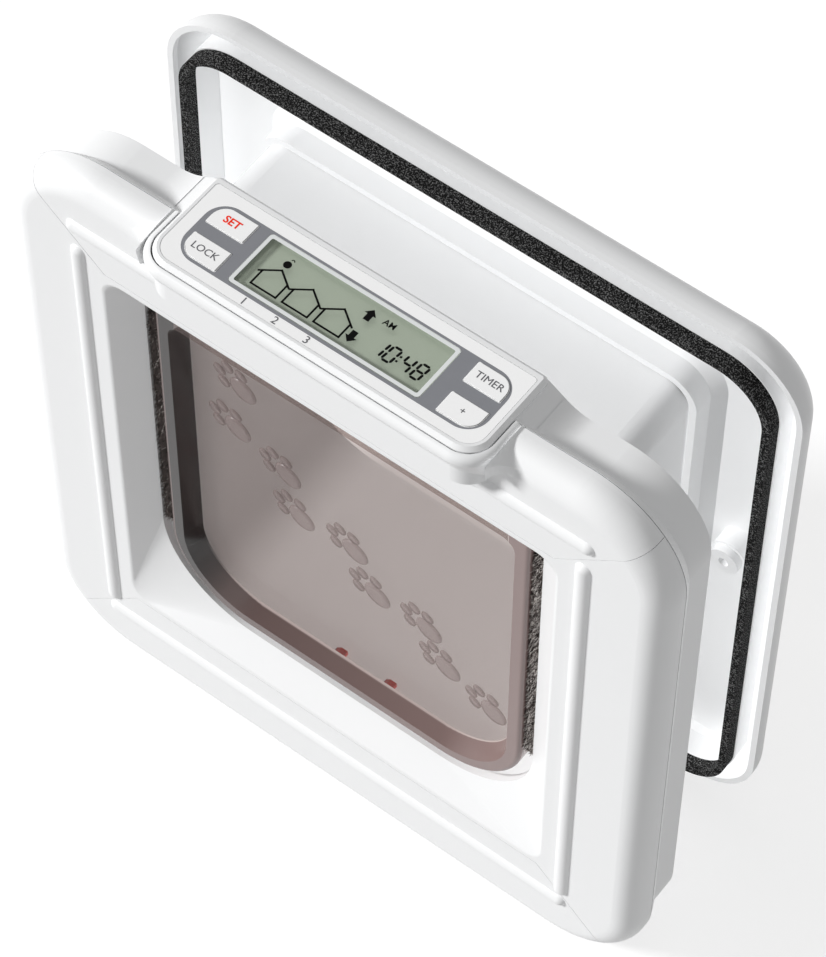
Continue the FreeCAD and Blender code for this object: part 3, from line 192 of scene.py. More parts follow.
def noise_node(
    tree: bpy.types.NodeTree, place: bpy.types.Node, scale: float, detail: float
) -> bpy.types.Node:
    """A noise texture in object coordinates.

    Args:
        tree: the material's node tree.
        place: the texture coordinate node.
        scale: cycles a metre.
        detail: how many finer layers it has.

    Returns:
        The noise node.
    """
    noise = tree.nodes.new("ShaderNodeTexNoise")
    noise.inputs["Scale"].default_value = scale
    noise.inputs["Detail"].default_value = detail
    tree.links.new(place.outputs["Object"], noise.inputs["Vector"])
    return noise


@dataclass(frozen=True)
class SmokyFinish(Finish):
    """Tinted clear plastic: part of the light passes straight through in the tint.

    Args:
        tint: linear colour of what passes.
        clearness: share of the light that passes.
    """

    tint: Colour = (0.5, 0.42, 0.4)
    clearness: float = 0.6

    def wire(self, tree: bpy.types.NodeTree) -> None:
        """Add a tinted see-through part to the drifting colour and grain.

        Args:
            tree: the material's node tree.
        """
        super().wire(tree)
        nodes, links = tree.nodes, tree.links
        shader = nodes["Principled BSDF"]
        output = nodes["Material Output"]
        clear = nodes.new("ShaderNodeBsdfTransparent")
        clear.inputs["Color"].default_value = (*self.tint, 1)
        mix = nodes.new("ShaderNodeMixShader")
        mix.inputs["Fac"].default_value = self.clearness
        links.new(shader.outputs["BSDF"], mix.inputs[1])
        links.new(clear.outputs["BSDF"], mix.inputs[2])
        links.new(mix.outputs["Shader"], output.inputs["Surface"])


@dataclass(frozen=True)
class FlapFinish(SmokyFinish):
    """The flap's smoky plastic: a see-through sheet in a thick border that lets little light through.

    The zones follow the distance outside the sheet's rounded outline, in metres.

    Args:
        sheet_half_width: half the width of the sheet.
        sheet_foot: height of the sheet's lower edge.
        sheet_corner: radius of its two lower corners.
        slope_width: width of the band of painted shade beside the sheet's left edge.
        rim_width: width of the pale line at the sheet's edge.
        edge_blur: width over which one zone passes into the next.
        dark_end, brown_start: where the band of painted shade ends and full brown starts, across the
            flap.
        pale_end: where the border is palest, across the flap.
        rim, slope, border, pale_border: linear colours of the line, the painted shade on the border's
            left slope and the border.
    """

    sheet_half_width: float = 0.0595
    sheet_foot: float = -0.0721
    sheet_corner: float = 0.0246
    slope_width: float = 0.0057
    rim_width: float = 0.0003
    edge_blur: float = 0.0001
    dark_end: float = -0.059
    brown_start: float = -0.048
    pale_end: float = 0.06
    rim: Colour = (0.5, 0.42, 0.4)
    slope: Colour = (0.022, 0.017, 0.016)
    border: Colour = (0.12, 0.083, 0.078)
    pale_border: Colour = (0.25, 0.175, 0.165)

    def wire(self, tree: bpy.types.NodeTree) -> None:
        """Paint the zones over the smoky plastic, with painted shade on the border's left slope, and
        close the border's outside to light.

        Args:
            tree: the material's node tree.
        """
        super().wire(tree)
        nodes, links = tree.nodes, tree.links
        shader = nodes["Principled BSDF"]
        outside = self.distance(tree)
        across = self.across(tree)
        sheet_colour = shader.inputs["Base Color"].links[0].from_socket
        blur = self.edge_blur
        rim = self.zone(tree, outside, -self.rim_width, blur - self.rim_width)
        closed = self.zone(tree, outside, blur - self.rim_width, 2 * blur - self.rim_width)
        solid = self.zone(tree, outside, blur, 2 * blur)
        inner = self.zone(tree, outside, self.slope_width + blur, self.slope_width)
        left = self.zone(tree, across, self.brown_start, self.dark_end)
        right = self.zone(tree, across, self.brown_start, self.pale_end)
        # Band of painted shade on the border's left slope: near black at the flap's left, fading out
        # towards the middle.
        band = maths(tree, "MINIMUM", maths(tree, "MINIMUM", closed, inner), left)
        colour = self.paint(tree, sheet_colour, self.rim, rim)
        colour = self.paint(tree, colour, self.border, solid)
        colour = self.paint(tree, colour, self.pale_border, maths(tree, "MINIMUM", solid, right))
        # Lay the painted shade over the left slope.
        colour = self.paint(tree, colour, self.slope, band)
        links.new(colour, shader.inputs["Base Color"])
        mix = nodes["Mix Shader"]
        clear = nodes.new("ShaderNodeMapRange")
        clear.inputs["To Min"].default_value = self.clearness
        clear.inputs["To Max"].default_value = 0.0
        inside = nodes.new("ShaderNodeNewGeometry").outputs["Backfacing"]
        links.new(maths(tree, "SUBTRACT", closed, inside), clear.inputs["Value"])
        links.new(clear.outputs["Result"], mix.inputs["Fac"])

    def distance(self, tree: bpy.types.NodeTree) -> bpy.types.NodeSocket:
        """Distance outside the sheet's outline, with square upper corners and rounded lower ones.

        Args:
            tree: the material's node tree.

        Returns:
            The value output, negative on the sheet.
        """
        nodes, links = tree.nodes, tree.links
        split = self.split_place(tree)
        width = maths(tree, "ABSOLUTE", split.outputs["X"])
        aside = maths(tree, "SUBTRACT", width, self.sheet_half_width - self.sheet_corner)
        start = self.sheet_foot + self.sheet_corner
        below = maths(tree, "MULTIPLY_ADD", split.outputs["Z"], -1.0, start)
        join = nodes.new("ShaderNodeCombineXYZ")
        links.new(maths(tree, "MAXIMUM", aside, 0.0), join.inputs["X"])
        links.new(maths(tree, "MAXIMUM", below, 0.0), join.inputs["Y"])
        length = nodes.new("ShaderNodeVectorMath")
        length.operation = "LENGTH"
        links.new(join.outputs["Vector"], length.inputs[0])
        return maths(tree, "SUBTRACT", length.outputs["Value"], self.sheet_corner)

    def split_place(self, tree: bpy.types.NodeTree) -> bpy.types.Node:
        """The object coordinates, split into their three axes.

        Args:
            tree: the material's node tree.

        Returns:
            The node that splits them.
        """
        place = tree.nodes.new("ShaderNodeTexCoord")
        split = tree.nodes.new("ShaderNodeSeparateXYZ")
        tree.links.new(place.outputs["Object"], split.inputs["Vector"])
        return split

    def across(self, tree: bpy.types.NodeTree) -> bpy.types.NodeSocket:
        """The place across the flap, from left to right, as a value output of the tree."""
        return self.split_place(tree).outputs["X"]

    def zone(
        self, tree: bpy.types.NodeTree, value: bpy.types.NodeSocket, start: float, end: float
    ) -> bpy.types.NodeSocket:
        """A mask that passes from nought to one between two values.

        Args:
            tree: the material's node tree.
            value: the varying value.
            start: the value where the mask is nought.
            end: the value where it is one.

        Returns:
            The value output.
        """
        rise = tree.nodes.new("ShaderNodeMapRange")
        rise.inputs["From Min"].default_value = start
        rise.inputs["From Max"].default_value = end
        tree.links.new(value, rise.inputs["Value"])
        return rise.outputs["Result"]

    def paint(
        self, tree: bpy.types.NodeTree, under: bpy.types.NodeSocket, colour: Colour,
        mask: bpy.types.NodeSocket,
    ) -> bpy.types.NodeSocket:
        """Lay a colour over another one through a mask.

        Args:
            tree: the material's node tree.
            under: the colour below.
            colour: the new colour.
            mask: where the new colour shows.

        Returns:
            The mixed colour output.
        """
        mix = tree.nodes.new("ShaderNodeMix")
        mix.data_type = "RGBA"
        tree.links.new(under, mix.inputs["A"])
        mix.inputs["B"].default_value = (*colour, 1)
        tree.links.new(mask, mix.inputs["Factor"])
        return mix.outputs["Result"]


def maths(
    tree: bpy.types.NodeTree, operation: str, first: bpy.types.NodeSocket,
    *rest: float | bpy.types.NodeSocket,
) -> bpy.types.NodeSocket:
    """A maths node on a varying value and other values or fixed numbers.

    Args:
        tree: the material's node tree.
        operation: Blender's name of the operation.
        first: the varying value.
        rest: the other values, in the order of the node's inputs.

    Returns:
        The value output.
    """
    node = tree.nodes.new("ShaderNodeMath")
    node.operation = operation
    tree.links.new(first, node.inputs[0])
    for number, value in enumerate(rest, start=1):
        if isinstance(value, bpy.types.NodeSocket):
            tree.links.new(value, node.inputs[number])
        else:
            node.inputs[number].default_value = value
    return node.outputs["Value"]


@dataclass(frozen=True)
class FoamFinish(Finish):
    """Closed-cell foam: pale specks of open cells over a dark body, with a pitted bump.

    Args:
        speck: linear colour of an open cell.
        cell_scale: noise scale of the cells, in cycles a metre.
        dark_share, pale_share: noise values up to which foam shows and from which a cell does.
    """

    speck: Colour = (0.12, 0.12, 0.12)
    cell_scale: float = 1400.0
    dark_share: float = 0.5
    pale_share: float = 0.64

    def drifted_colour(
        self, tree: bpy.types.NodeTree, drift: bpy.types.Node
    ) -> bpy.types.NodeSocket:
        """Scatter pale cells over the dark foam.

        Args:
            tree: the material's node tree.
            drift: the noise that the finish wanders by.

        Returns:
            The colour output of the ramp.
        """
        place = tree.nodes.new("ShaderNodeTexCoord")
        cells = noise_node(tree, place, self.cell_scale, 4.0)
        ramp = tree.nodes.new("ShaderNodeValToRGB")
        ramp.color_ramp.elements[0].position = self.dark_share
        ramp.color_ramp.elements[0].color = (*self.colour, 1)
        ramp.color_ramp.elements[1].position = self.pale_share
        ramp.color_ramp.elements[1].color = (*self.speck, 1)
        tree.links.new(cells.outputs["Fac"], ramp.inputs["Fac"])
        return ramp.outputs["Color"]


WHITE_PLASTIC = Finish(
    "white_moulding", (0.86, 0.865, 0.87), 0.008, 25.0, (0.28, 0.34), 2200.0, 0.000004,
)
PANEL_PLASTIC = Finish(
    "white_panel", (0.99, 0.99, 0.99), 0.004, 60.0, (0.35, 0.42), 2500.0, 0.000002, specular=0.8,
)
PRINT_GREY = Finish(
    "grey_print", (0.235, 0.24, 0.26), 0.04, 300.0, (0.4, 0.5), 3000.0, 0.000003, specular=0.3,
)
PRINT_DARK = Finish(
    "dark_grey_print", (0.13, 0.13, 0.14), 0.05, 300.0, (0.5, 0.6), 3000.0, 0.000003, specular=0.2,
)
PRINT_RED = Finish(
    "red_print", (0.95, 0.03, 0.004), 0.03, 300.0, (0.5, 0.6), 3000.0, 0.000003, specular=0.2,
)
DISPLAY_FACE = Finish(
    "display_face", (0.405, 0.447, 0.375), 0.02, 90.0, (0.3, 0.36), 2500.0, 0.000002,
)
DISPLAY_INK = Finish(
    "display_ink", (0.003, 0.003, 0.003), 0.2, 400.0, (0.6, 0.7), 3000.0, 0.000002, specular=0.05,
)
WINDOW_FRAME = Finish("window_frame", (0.8, 0.82, 0.82), 0.02, 120.0, (0.2, 0.3), 2500.0, 0.000003)
BOARD = Finish("green_board", (0.03, 0.16, 0.07), 0.25, 260.0, (0.3, 0.45), 3500.0, 0.00002)
BLACK_PLASTIC = Finish(
    "black_plastic", (0.02, 0.02, 0.022), 0.2, 200.0, (0.35, 0.5), 2500.0, 0.00001,
)
SCREW_STEEL = Finish(
    "screw_steel", (0.6, 0.6, 0.61), 0.08, 700.0, (0.22, 0.38), 5000.0, 0.000008, metallic=1.0,
)
CONTACT_STEEL = Finish(
    "contact_steel", (0.68, 0.67, 0.65), 0.06, 500.0, (0.2, 0.35), 5000.0, 0.000006, metallic=1.0,
)
COPPER = Finish(
    "copper_winding", (0.62, 0.25, 0.11), 0.15, 1600.0, (0.3, 0.45), 4200.0, 0.00006, metallic=1.0,
)
CELL_SLEEVE = Finish(
    "cell_sleeve", (0.05, 0.06, 0.08), 0.2, 120.0, (0.25, 0.35), 2000.0, 0.000006, coat=0.3,
)
GREY_PLASTIC = Finish(
    "grey_inner_moulding", (0.3, 0.3, 0.31), 0.05, 90.0, (0.4, 0.5), 1800.0, 0.00001,
)
RED_PLASTIC = Finish("red_acetal", (0.82, 0.02, 0.005), 0.05, 120.0, (0.25, 0.35), 2200.0, 0.000006)
MAGNET = Finish("ferrite", (0.035, 0.033, 0.033), 0.3, 500.0, (0.5, 0.65), 3500.0, 0.00003)
BRUSH_BACKING = Finish(
    "brush_backing", (0.02, 0.017, 0.016), 0.4, 900.0, (0.7, 0.85), 2600.0, 0.0002, specular=0.1,
)
BRUSH_FIBRE = Finish(
    "brush_fibre", (0.09, 0.075, 0.07), 0.8, 700.0, (0.7, 0.9), 3000.0, 0.00001, specular=0.1,
)
BRUSH_PALE_FIBRE = Finish(
    "pale_brush_fibre", (0.6, 0.56, 0.53), 0.4, 700.0, (0.6, 0.8), 3000.0, 0.00001,
)
FLAP_SMOKE = FlapFinish(
    "smoky_plastic", (0.3, 0.235, 0.225), 0.03, 40.0, (0.14, 0.2), 1500.0, 0.000003,
    tint=(0.83, 0.79, 0.775), clearness=0.83,
)
PAW_SMOKE = SmokyFinish(
    "smoky_relief", (0.26, 0.2, 0.195), 0.03, 40.0, (0.2, 0.28), 1500.0, 0.000004,
    tint=(0.87, 0.83, 0.82), clearness=0.6,
)
CLEAR = SmokyFinish(
    "clear_window", (0.6, 0.64, 0.6), 0.02, 80.0, (0.06, 0.1), 1500.0, 0.000001,
    tint=(0.97, 0.98, 0.96), clearness=0.95,
)
BLACK_FOAM = FoamFinish(
    "black_foam", (0.007, 0.007, 0.007), 0.1, 90.0, (0.85, 0.95), 1500.0, 0.00025,
    specular=0.05, speck=(0.15, 0.15, 0.15), cell_scale=2300.0,
)

NODE_FINISHES: dict[str, Finish] = {
    "rear_casing": WHITE_PLASTIC,
    "front_bezel": WHITE_PLASTIC,
    "top_cover": WHITE_PLASTIC,
    "bottom_strip": WHITE_PLASTIC,
    "tunnel_liner": WHITE_PLASTIC,
    "outdoor_frame": WHITE_PLASTIC,
    "panel_overlay": PANEL_PLASTIC,
    "set_key": PANEL_PLASTIC,
    "lock_key": PANEL_PLASTIC,
    "timer_key": PANEL_PLASTIC,
    "plus_key": PANEL_PLASTIC,
    "display_window": CLEAR,
    "lcd_module": DISPLAY_FACE,
    "circuit_board": BOARD,
    "tact_switches": BLACK_PLASTIC,
    "board_screws": SCREW_STEEL,
    "battery_cells": CELL_SLEEVE,
    "battery_contacts": CONTACT_STEEL,
    "sensor_coil": COPPER,
    "latch_housing": GREY_PLASTIC,
    "latch_solenoids": COPPER,
    "latch_pawl_left": RED_PLASTIC,
    "latch_pawl_right": RED_PLASTIC,
    "flap": FLAP_SMOKE,
    "flap_magnet": MAGNET,
    "sill_magnet": MAGNET,
    "brush_strip_left": BRUSH_BACKING,
    "brush_strip_right": BRUSH_BACKING,
    "foam_gasket": BLACK_FOAM,
}


def dress_nodes() -> None:
    """Give every CAD node its finish."""
    for name, finish in NODE_FINISHES.items():
        node = frame["nodes"].get(name)
        if node is not None:
            node.data.materials.clear()
            node.data.materials.append(finish.material())
            LOG.info("node %s: %s", name, finish.name)


# Mesh helpers


def add_mesh(
    name: str, mesh: bmesh.types.BMesh, finish: Finish, rides: Moves
) -> bpy.types.Object:
    """Turn a finished bmesh into a dressed object that rides on a CAD body.

    Args:
        name: the piece's name.
        mesh: its shape in the row frame.
        finish: its finish.
        rides: the CAD body that carries it.

    Returns:
        The new object.
    """
    data = bpy.data.meshes.new(name)
    mesh.to_mesh(data)
    mesh.free()
    made = bpy.data.objects.new(name, data)
    bpy.context.scene.collection.objects.link(made)
    data.materials.append(finish.material())
    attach(made, rides.value)
    LOG.info("piece %s: %d faces on %s", name, len(data.polygons), rides.value)
    return made


def smooth(piece: bpy.types.Object) -> None:
    """Shade a piece smoothly, apart from its sharp edges."""
    piece.data.shade_smooth()
    piece.data.set_sharp_from_angle(angle=math.radians(SHARP_ANGLE))


def rounded_outline(
    left: float, right: float, low: float, high: float, rounds: tuple[float, ...], steps: int = 8
) -> list[Point2]:
    """Corner points of a rounded rectangle, in millimetres.

    Args:
        left, right, low, high: its four sides.
        rounds: radii from the low right corner round to the low left.
        steps: straight pieces in each corner.

    Returns:
        The points, anticlockwise.
    """
    low_right, high_right, high_left, low_left = rounds
    corners = (
        (right - low_right, low + low_right, low_right, 270),
        (right - high_right, high - high_right, high_right, 0),
        (left + high_left, high - high_left, high_left, 90),
        (left + low_left, low + low_left, low_left, 180),
    )
    points = []
    for x, y, radius, start in corners:
        for step in range(steps + 1):
            turn = math.radians(start + 90 * step / steps)
            points.append((x + radius * math.cos(turn), y + radius * math.sin(turn)))
    return points


def add_sheet(
    mesh: bmesh.types.BMesh, outline: list[Point2], holes: list[list[Point2]],
    level: float, thickness: float,
) -> None:
    """Add a thin printed or cut sheet with holes to a bmesh.

    Args:
        mesh: the bmesh that takes it.
        outline: outer points in millimetres.
        holes: outlines of the holes in millimetres.
        level: height of its underside in metres.
        thickness: its thickness in metres.
    """
    edges = []
    for loop in [outline, *holes]:
        points = [mesh.verts.new((x * MM, y * MM, level)) for x, y in loop]
        count = len(points)
        edges.extend(mesh.edges.new((points[i], points[(i + 1) % count])) for i in range(count))
    filled = bmesh.ops.triangle_fill(mesh, edges=edges, use_beauty=True, use_dissolve=False)
    faces = [item for item in filled["geom"] if isinstance(item, bmesh.types.BMFace)]
    for face in faces:
        face.normal_update()
        if face.normal.z < 0:
            face.normal_flip()
    raised = bmesh.ops.extrude_face_region(mesh, geom=faces)
    moved = [item for item in raised["geom"] if isinstance(item, bmesh.types.BMVert)]
    bmesh.ops.translate(mesh, verts=moved, vec=Vector((0, 0, thickness)))


def add_bar(
    mesh: bmesh.types.BMesh, start: Point2, end: Point2, width: float, level: float, thickness: float
) -> None:
    """Add one straight printed stroke, pointed at both ends like a display segment.

    Args:
        mesh: the bmesh that takes it.
        start, end: its end points in millimetres.
        width: its width in millimetres.
        level: height of its underside in metres.
        thickness: its thickness in metres.
    """
    along = Vector((end[0] - start[0], end[1] - start[1]))
    along.normalize()
    side = Vector((-along.y, along.x)) * width / 2
    tip = along * width / 2
    points = [
        (start[0], start[1]),
        (start[0] + tip.x - side.x, start[1] + tip.y - side.y),
        (end[0] - tip.x - side.x, end[1] - tip.y - side.y),
        (end[0], end[1]),
        (end[0] - tip.x + side.x, end[1] - tip.y + side.y),
        (start[0] + tip.x + side.x, start[1] + tip.y + side.y),
    ]
    add_sheet(mesh, points, [], level, thickness)


def add_line(
    mesh: bmesh.types.BMesh, points: list[Point2], width: float, level: float, thickness: float
) -> None:
    """Add a printed line through several points as square-ended strokes.

    Args:
        mesh: the bmesh that takes it.
        points: the line's points in millimetres.
        width: its width in millimetres.
        level: height of its underside in metres.
        thickness: its thickness in metres.
    """
    for (ax, ay), (bx, by) in zip(points, points[1:]):
        along = Vector((bx - ax, by - ay))
        along.normalize()
        side = Vector((-along.y, along.x)) * width / 2
        end = along * width / 2
        corners = [
            (ax - end.x - side.x, ay - end.y - side.y),
            (bx + end.x - side.x, by + end.y - side.y),
            (bx + end.x + side.x, by + end.y + side.y),
            (ax - end.x + side.x, ay - end.y + side.y),
        ]
        add_sheet(mesh, corners, [], level, thickness)


def add_lettering(
    name: str, words: str, centre: Point2, height: float, level: float,
    finish: Finish, rides: Moves, weight: float = 0.0,
) -> bpy.types.Object:
    """Set plain lettering flat on the panel as a thin raised print.

    Args:
        name: the piece's name.
        words: the letters.
        centre: middle of the line in millimetres.
        height: capital height in millimetres.
        level: height of its underside in metres.
        finish: its finish.
        rides: the CAD body that carries it.
        weight: how far each stroke grows on both sides, in millimetres.

    Returns:
        The lettering as a mesh object.
    """
    curve = bpy.data.curves.new(f"{name}_text", "FONT")
    curve.body = words
    curve.align_x = "CENTER"
    curve.align_y = "CENTER"
    curve.size = height * MM / CAPITAL_SHARE
    curve.extrude = LETTER_DEPTH
    curve.offset = weight * MM
    curve.resolution_u = 3
    text = bpy.data.objects.new(f"{name}_text", curve)
    bpy.context.scene.collection.objects.link(text)
    bpy.context.view_layer.update()
    graph = bpy.context.evaluated_depsgraph_get()
    data = bpy.data.meshes.new_from_object(text.evaluated_get(graph))
    bpy.data.objects.remove(text)
    data.name = name
    shift = Vector((centre[0] * MM, centre[1] * MM, level + LETTER_DEPTH))
    data.transform(Matrix.Translation(shift))
    made = bpy.data.objects.new(name, data)
    bpy.context.scene.collection.objects.link(made)
    data.materials.clear()
    data.materials.append(finish.material())
    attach(made, rides.value)
    LOG.info("lettering %s: %s", name, words)
    return made


# Sub-assemblies


@dataclass
class Panel:
    """Prints of the control panel: the grey keypad field, key labels and channel numbers.

    Lengths are millimetres in the plane of the panel.

    Args:
        field_left, field_right, field_front, field_back: sides of the grey field.
        field_corner, corner_steps: radius of its corners and the straight pieces in each.
        key_gap: gap between a key's cap and the field.
        key_flange: the hidden flange round a key's cap.
        small_corner, wide_corner: radii of an inner and of the outer corner of a key.
        pane_gap, pane_corner: gap and corner radius round the display window.
        print_thickness: thickness of the print in metres.
        number_height: capital height of the channel numbers.
        number_places, number_line: their places across the panel and along it.
    """

    field_left: float = -50.9
    field_right: float = 52.4
    field_front: float = -28.5
    field_back: float = -6.5
    field_corner: float = 7.0
    corner_steps: int = 12
    key_gap: float = 0.35
    key_flange: float = 0.55
    small_corner: float = 0.5
    wide_corner: float = 4.9
    pane_gap: float = 0.2
    pane_corner: float = 1.4
    print_thickness: float = 0.00004
    number_height: float = 2.6
    number_places: tuple[float, ...] = (-24.0, -13.2, -2.4)
    number_line: float = -30.2

    def build(self) -> None:
        """Lay the grey field round the keys and set all the lettering."""
        self.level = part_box("panel_overlay")[1].z
        self.lay_field()
        self.set_labels()

    def lay_field(self) -> None:
        """The grey field with rounded corners, open at the four keys and the window."""
        outline = rounded_outline(
            self.field_left, self.field_right, self.field_front, self.field_back,
            (self.field_corner,) * 4, self.corner_steps,
        )
        gap = self.key_gap
        small, wide = self.small_corner, self.wide_corner
        wide_corner = {
            "set_key": (small, small, wide, small),
            "lock_key": (small, small, small, wide),
            "timer_key": (small, wide, small, small),
            "plus_key": (wide, small, small, small),
        }
        holes = []
        for key, rounds in wide_corner.items():
            left, right, front, back = self.cap_edges(key)
            holes.append(rounded_outline(left - gap, right + gap, front - gap, back + gap, rounds))
        low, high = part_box("display_window")
        out = self.pane_gap
        pane = (low.x / MM - out, high.x / MM + out, low.y / MM - out, high.y / MM + out)
        holes.append(rounded_outline(*pane, (self.pane_corner,) * 4))
        mesh = bmesh.new()
        add_sheet(mesh, outline, holes, self.level, self.print_thickness)
        add_mesh("keypad_field", mesh, PRINT_GREY, Moves.CASING)

    def cap_edges(self, key: str) -> tuple[float, float, float, float]:
        """The edges of a key's cap, inside its hidden flange.

        Args:
            key: the key's node.

        Returns:
            Left, right, front and back.
        """
        low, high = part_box(key)
        flange = self.key_flange
        return low.x / MM + flange, high.x / MM - flange, low.y / MM + flange, high.y / MM - flange

    def set_labels(self) -> None:
        """Key labels and the three channel numbers."""
        labels = (
            ("set_key", "SET", Moves.SET, PRINT_RED, 2.55, 0.07),
            ("lock_key", "LOCK", Moves.LOCK, PRINT_DARK, 2.4, 0.0),
            ("timer_key", "TIMER", Moves.TIMER, PRINT_DARK, 2.4, 0.0),
            ("plus_key", "+", Moves.PLUS, PRINT_DARK, 2.2, 0.0),
        )
        for key, words, rides, finish, height, weight in labels:
            left, right, front, back = self.cap_edges(key)
            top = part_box(key)[1].z
            centre = ((left + right) / 2, (front + back) / 2)
            add_lettering(
                f"label_{key}", words, centre, height, top, finish, rides, weight
            )
        for number, x in enumerate(self.number_places, start=1):
            add_lettering(
                f"channel_{number}", str(number), (x, self.number_line), self.number_height,
                self.level, PRINT_DARK, Moves.CASING,
            )


@dataclass
class Display:
    """Segments of the liquid crystal display, on its face under the clear pane.

    Lengths are millimetres in the plane of the panel.

    Args:
        print_thickness: thickness of a segment in metres.
        clearance: height of the segments over the pane in metres.
        digit_width, digit_height, digit_stroke: size of a digit and width of its segments.
        digit_starts, digit_foot: left edges of the four digits and their foot.
        segment_gap: gap between the ends of two segments.
        slant: how far a digit leans for each millimetre of height.
        colon_start, colon_rises, dot_half: the colon's place, its dots' heights and half size.
        house_width, house_pitch, house_left, house_low: size and places of the houses.
        wall_height, roof_height: heights of a house's walls and roof.
        roof_out, roof_down: how far the roof reaches past the walls and below the eaves.
        stroke: width of the houses' lines.
        arrows: place of each arrow and one for up or minus one for down.
        arrow_half, arrow_head, arrow_shaft: half width, head and half shaft of an arrow.
        arrow_tail, arrow_neck: how far its shaft reaches back and where its head starts.
        tag_place, tag_radius: middle and radius of the collar tag.
        morning_place, morning_height: middle and capital height of the morning sign.
        time_words: the time that shows.
        frame_inset, frame_rise: width of the pane's border, and its height in metres.
        frame_corner, frame_inner_corner: radii of the border's corners.
    """

    print_thickness: float = 0.00003
    clearance: float = 0.00002
    digit_width: float = 2.7
    digit_height: float = 5.4
    digit_stroke: float = 0.78
    digit_starts: tuple[float, ...] = (13.4, 17.2, 22.4, 26.6)
    digit_foot: float = -22.8
    segment_gap: float = 0.12
    slant: float = 0.12
    colon_start: float = 20.9
    colon_rises: tuple[float, float] = (0.32, 0.66)
    dot_half: float = 0.35
    house_width: float = 8.6
    house_pitch: float = 10.8
    house_left: float = -26.3
    house_low: float = -24.2
    wall_height: float = 5.2
    roof_height: float = 3.2
    roof_out: float = 0.9
    roof_down: float = 0.5
    stroke: float = 0.62
    arrows: tuple[tuple[float, float, int], ...] = ((6.2, -13.2, 1), (6.5, -21.9, -1))
    arrow_half: float = 1.9
    arrow_head: float = 2.1
    arrow_shaft: float = 0.95
    arrow_tail: float = 2.1
    arrow_neck: float = 0.1
    tag_place: Point2 = (-22.0, -13.4)
    tag_radius: float = 1.25
    morning_place: Point2 = (12.4, -12.6)
    morning_height: float = 2.0
    time_words: str = "10:48"
    frame_inset: float = 1.15
    frame_rise: float = 0.00006
    frame_corner: float = 1.2
    frame_inner_corner: float = 0.6

    def build(self) -> None:
        """Digits, houses, arrows, the tag symbol and the pale frame of the pane."""
        self.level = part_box("display_window")[1].z + self.clearance
        mesh = bmesh.new()
        self.add_time(mesh)
        self.add_houses(mesh)
        self.add_arrows(mesh)
        self.add_tag(mesh)
        add_mesh("display_segments", mesh, DISPLAY_INK, Moves.CASING)
        add_lettering(
            "display_morning", "AM", self.morning_place, self.morning_height, self.level,
            DISPLAY_INK, Moves.CASING, 0.05,
        )
        self.add_frame()

    def add_time(self, mesh: bmesh.types.BMesh) -> None:
        """Four slanting digits with a colon.

        Args:
            mesh: the bmesh that takes it.
        """
        lit = {"0": "abcdef", "1": "bc", "4": "bcfg", "8": "abcdefg"}
        digits = self.time_words.replace(":", "")
        for start, digit in zip(self.digit_starts, digits):
            self.add_digit(mesh, start, lit[digit])
        half = self.dot_half
        for rise in self.colon_rises:
            y = self.digit_foot + self.digit_height * rise
            x = self.colon_start + self.slant * self.digit_height * rise
            dot = rounded_outline(x - half, x + half, y - half, y + half, (0.1,) * 4, 2)
            add_sheet(mesh, dot, [], self.level, self.print_thickness)

    def add_digit(self, mesh: bmesh.types.BMesh, start: float, lit: str) -> None:
        """One seven-segment digit.

        Args:
            mesh: the bmesh that takes it.
            start: its left edge.
            lit: letters of its lit segments.
        """
        low, middle, high = 0.0, self.digit_height / 2, self.digit_height
        wide, gap = self.digit_width, self.segment_gap

        def at(x: float, y: float) -> Point2:
            """A place in the slanting digit."""
            return (start + x + self.slant * y, self.digit_foot + y)

        segments = {
            "a": (at(gap, high), at(wide - gap, high)),
            "b": (at(wide, middle + gap), at(wide, high - gap)),
            "c": (at(wide, low + gap), at(wide, middle - gap)),
            "d": (at(gap, low), at(wide - gap, low)),
            "e": (at(0, low + gap), at(0, middle - gap)),
            "f": (at(0, middle + gap), at(0, high - gap)),
            "g": (at(gap, middle), at(wide - gap, middle)),
        }
        for letter in lit:
            add_bar(mesh, *segments[letter], self.digit_stroke, self.level, self.print_thickness)

    def add_houses(self, mesh: bmesh.types.BMesh) -> None:
        """Three plain house outlines side by side.

        Args:
            mesh: the bmesh that takes it.
        """
        for number in range(3):
            left = self.house_left + self.house_pitch * number
            right = left + self.house_width
            eaves = self.house_low + self.wall_height
            ridge = eaves + self.roof_height
            walls = [(left, eaves), (left, self.house_low), (right, self.house_low), (right, eaves)]
            add_line(mesh, walls, self.stroke, self.level, self.print_thickness)
            edge = eaves - self.roof_down
            middle = (left + right) / 2
            roof = [(left - self.roof_out, edge), (middle, ridge), (right + self.roof_out, edge)]
            add_line(mesh, roof, self.stroke, self.level, self.print_thickness)

    def add_arrows(self, mesh: bmesh.types.BMesh) -> None:
        """One arrow up and one arrow down beside the clock.

        Args:
            mesh: the bmesh that takes it.
        """
        half, shaft = self.arrow_half, self.arrow_shaft
        for x, y, way in self.arrows:
            tail, neck = y - self.arrow_tail * way, y + self.arrow_neck * way
            points = [
                (x - shaft, tail), (x + shaft, tail), (x + shaft, neck), (x + half, neck),
                (x, y + self.arrow_head * way), (x - half, neck), (x - shaft, neck),
            ]
            add_sheet(mesh, points, [], self.level, self.print_thickness)

    def add_tag(self, mesh: bmesh.types.BMesh) -> None:
        """The round collar tag with its ring above the first house.

        Args:
            mesh: the bmesh that takes it.
        """
        x, y = self.tag_place
        radius = self.tag_radius
        disc = rounded_outline(x - radius, x + radius, y - radius, y + radius, (radius,) * 4)
        add_sheet(mesh, disc, [], self.level, self.print_thickness)
        ring = rounded_outline(x - 0.05, x + 1.15, y + 1.2, y + 2.4, (0.6,) * 4)
        eye = rounded_outline(x + 0.25, x + 0.85, y + 1.5, y + 2.1, (0.3,) * 4)
        add_sheet(mesh, ring, [eye], self.level, self.print_thickness)

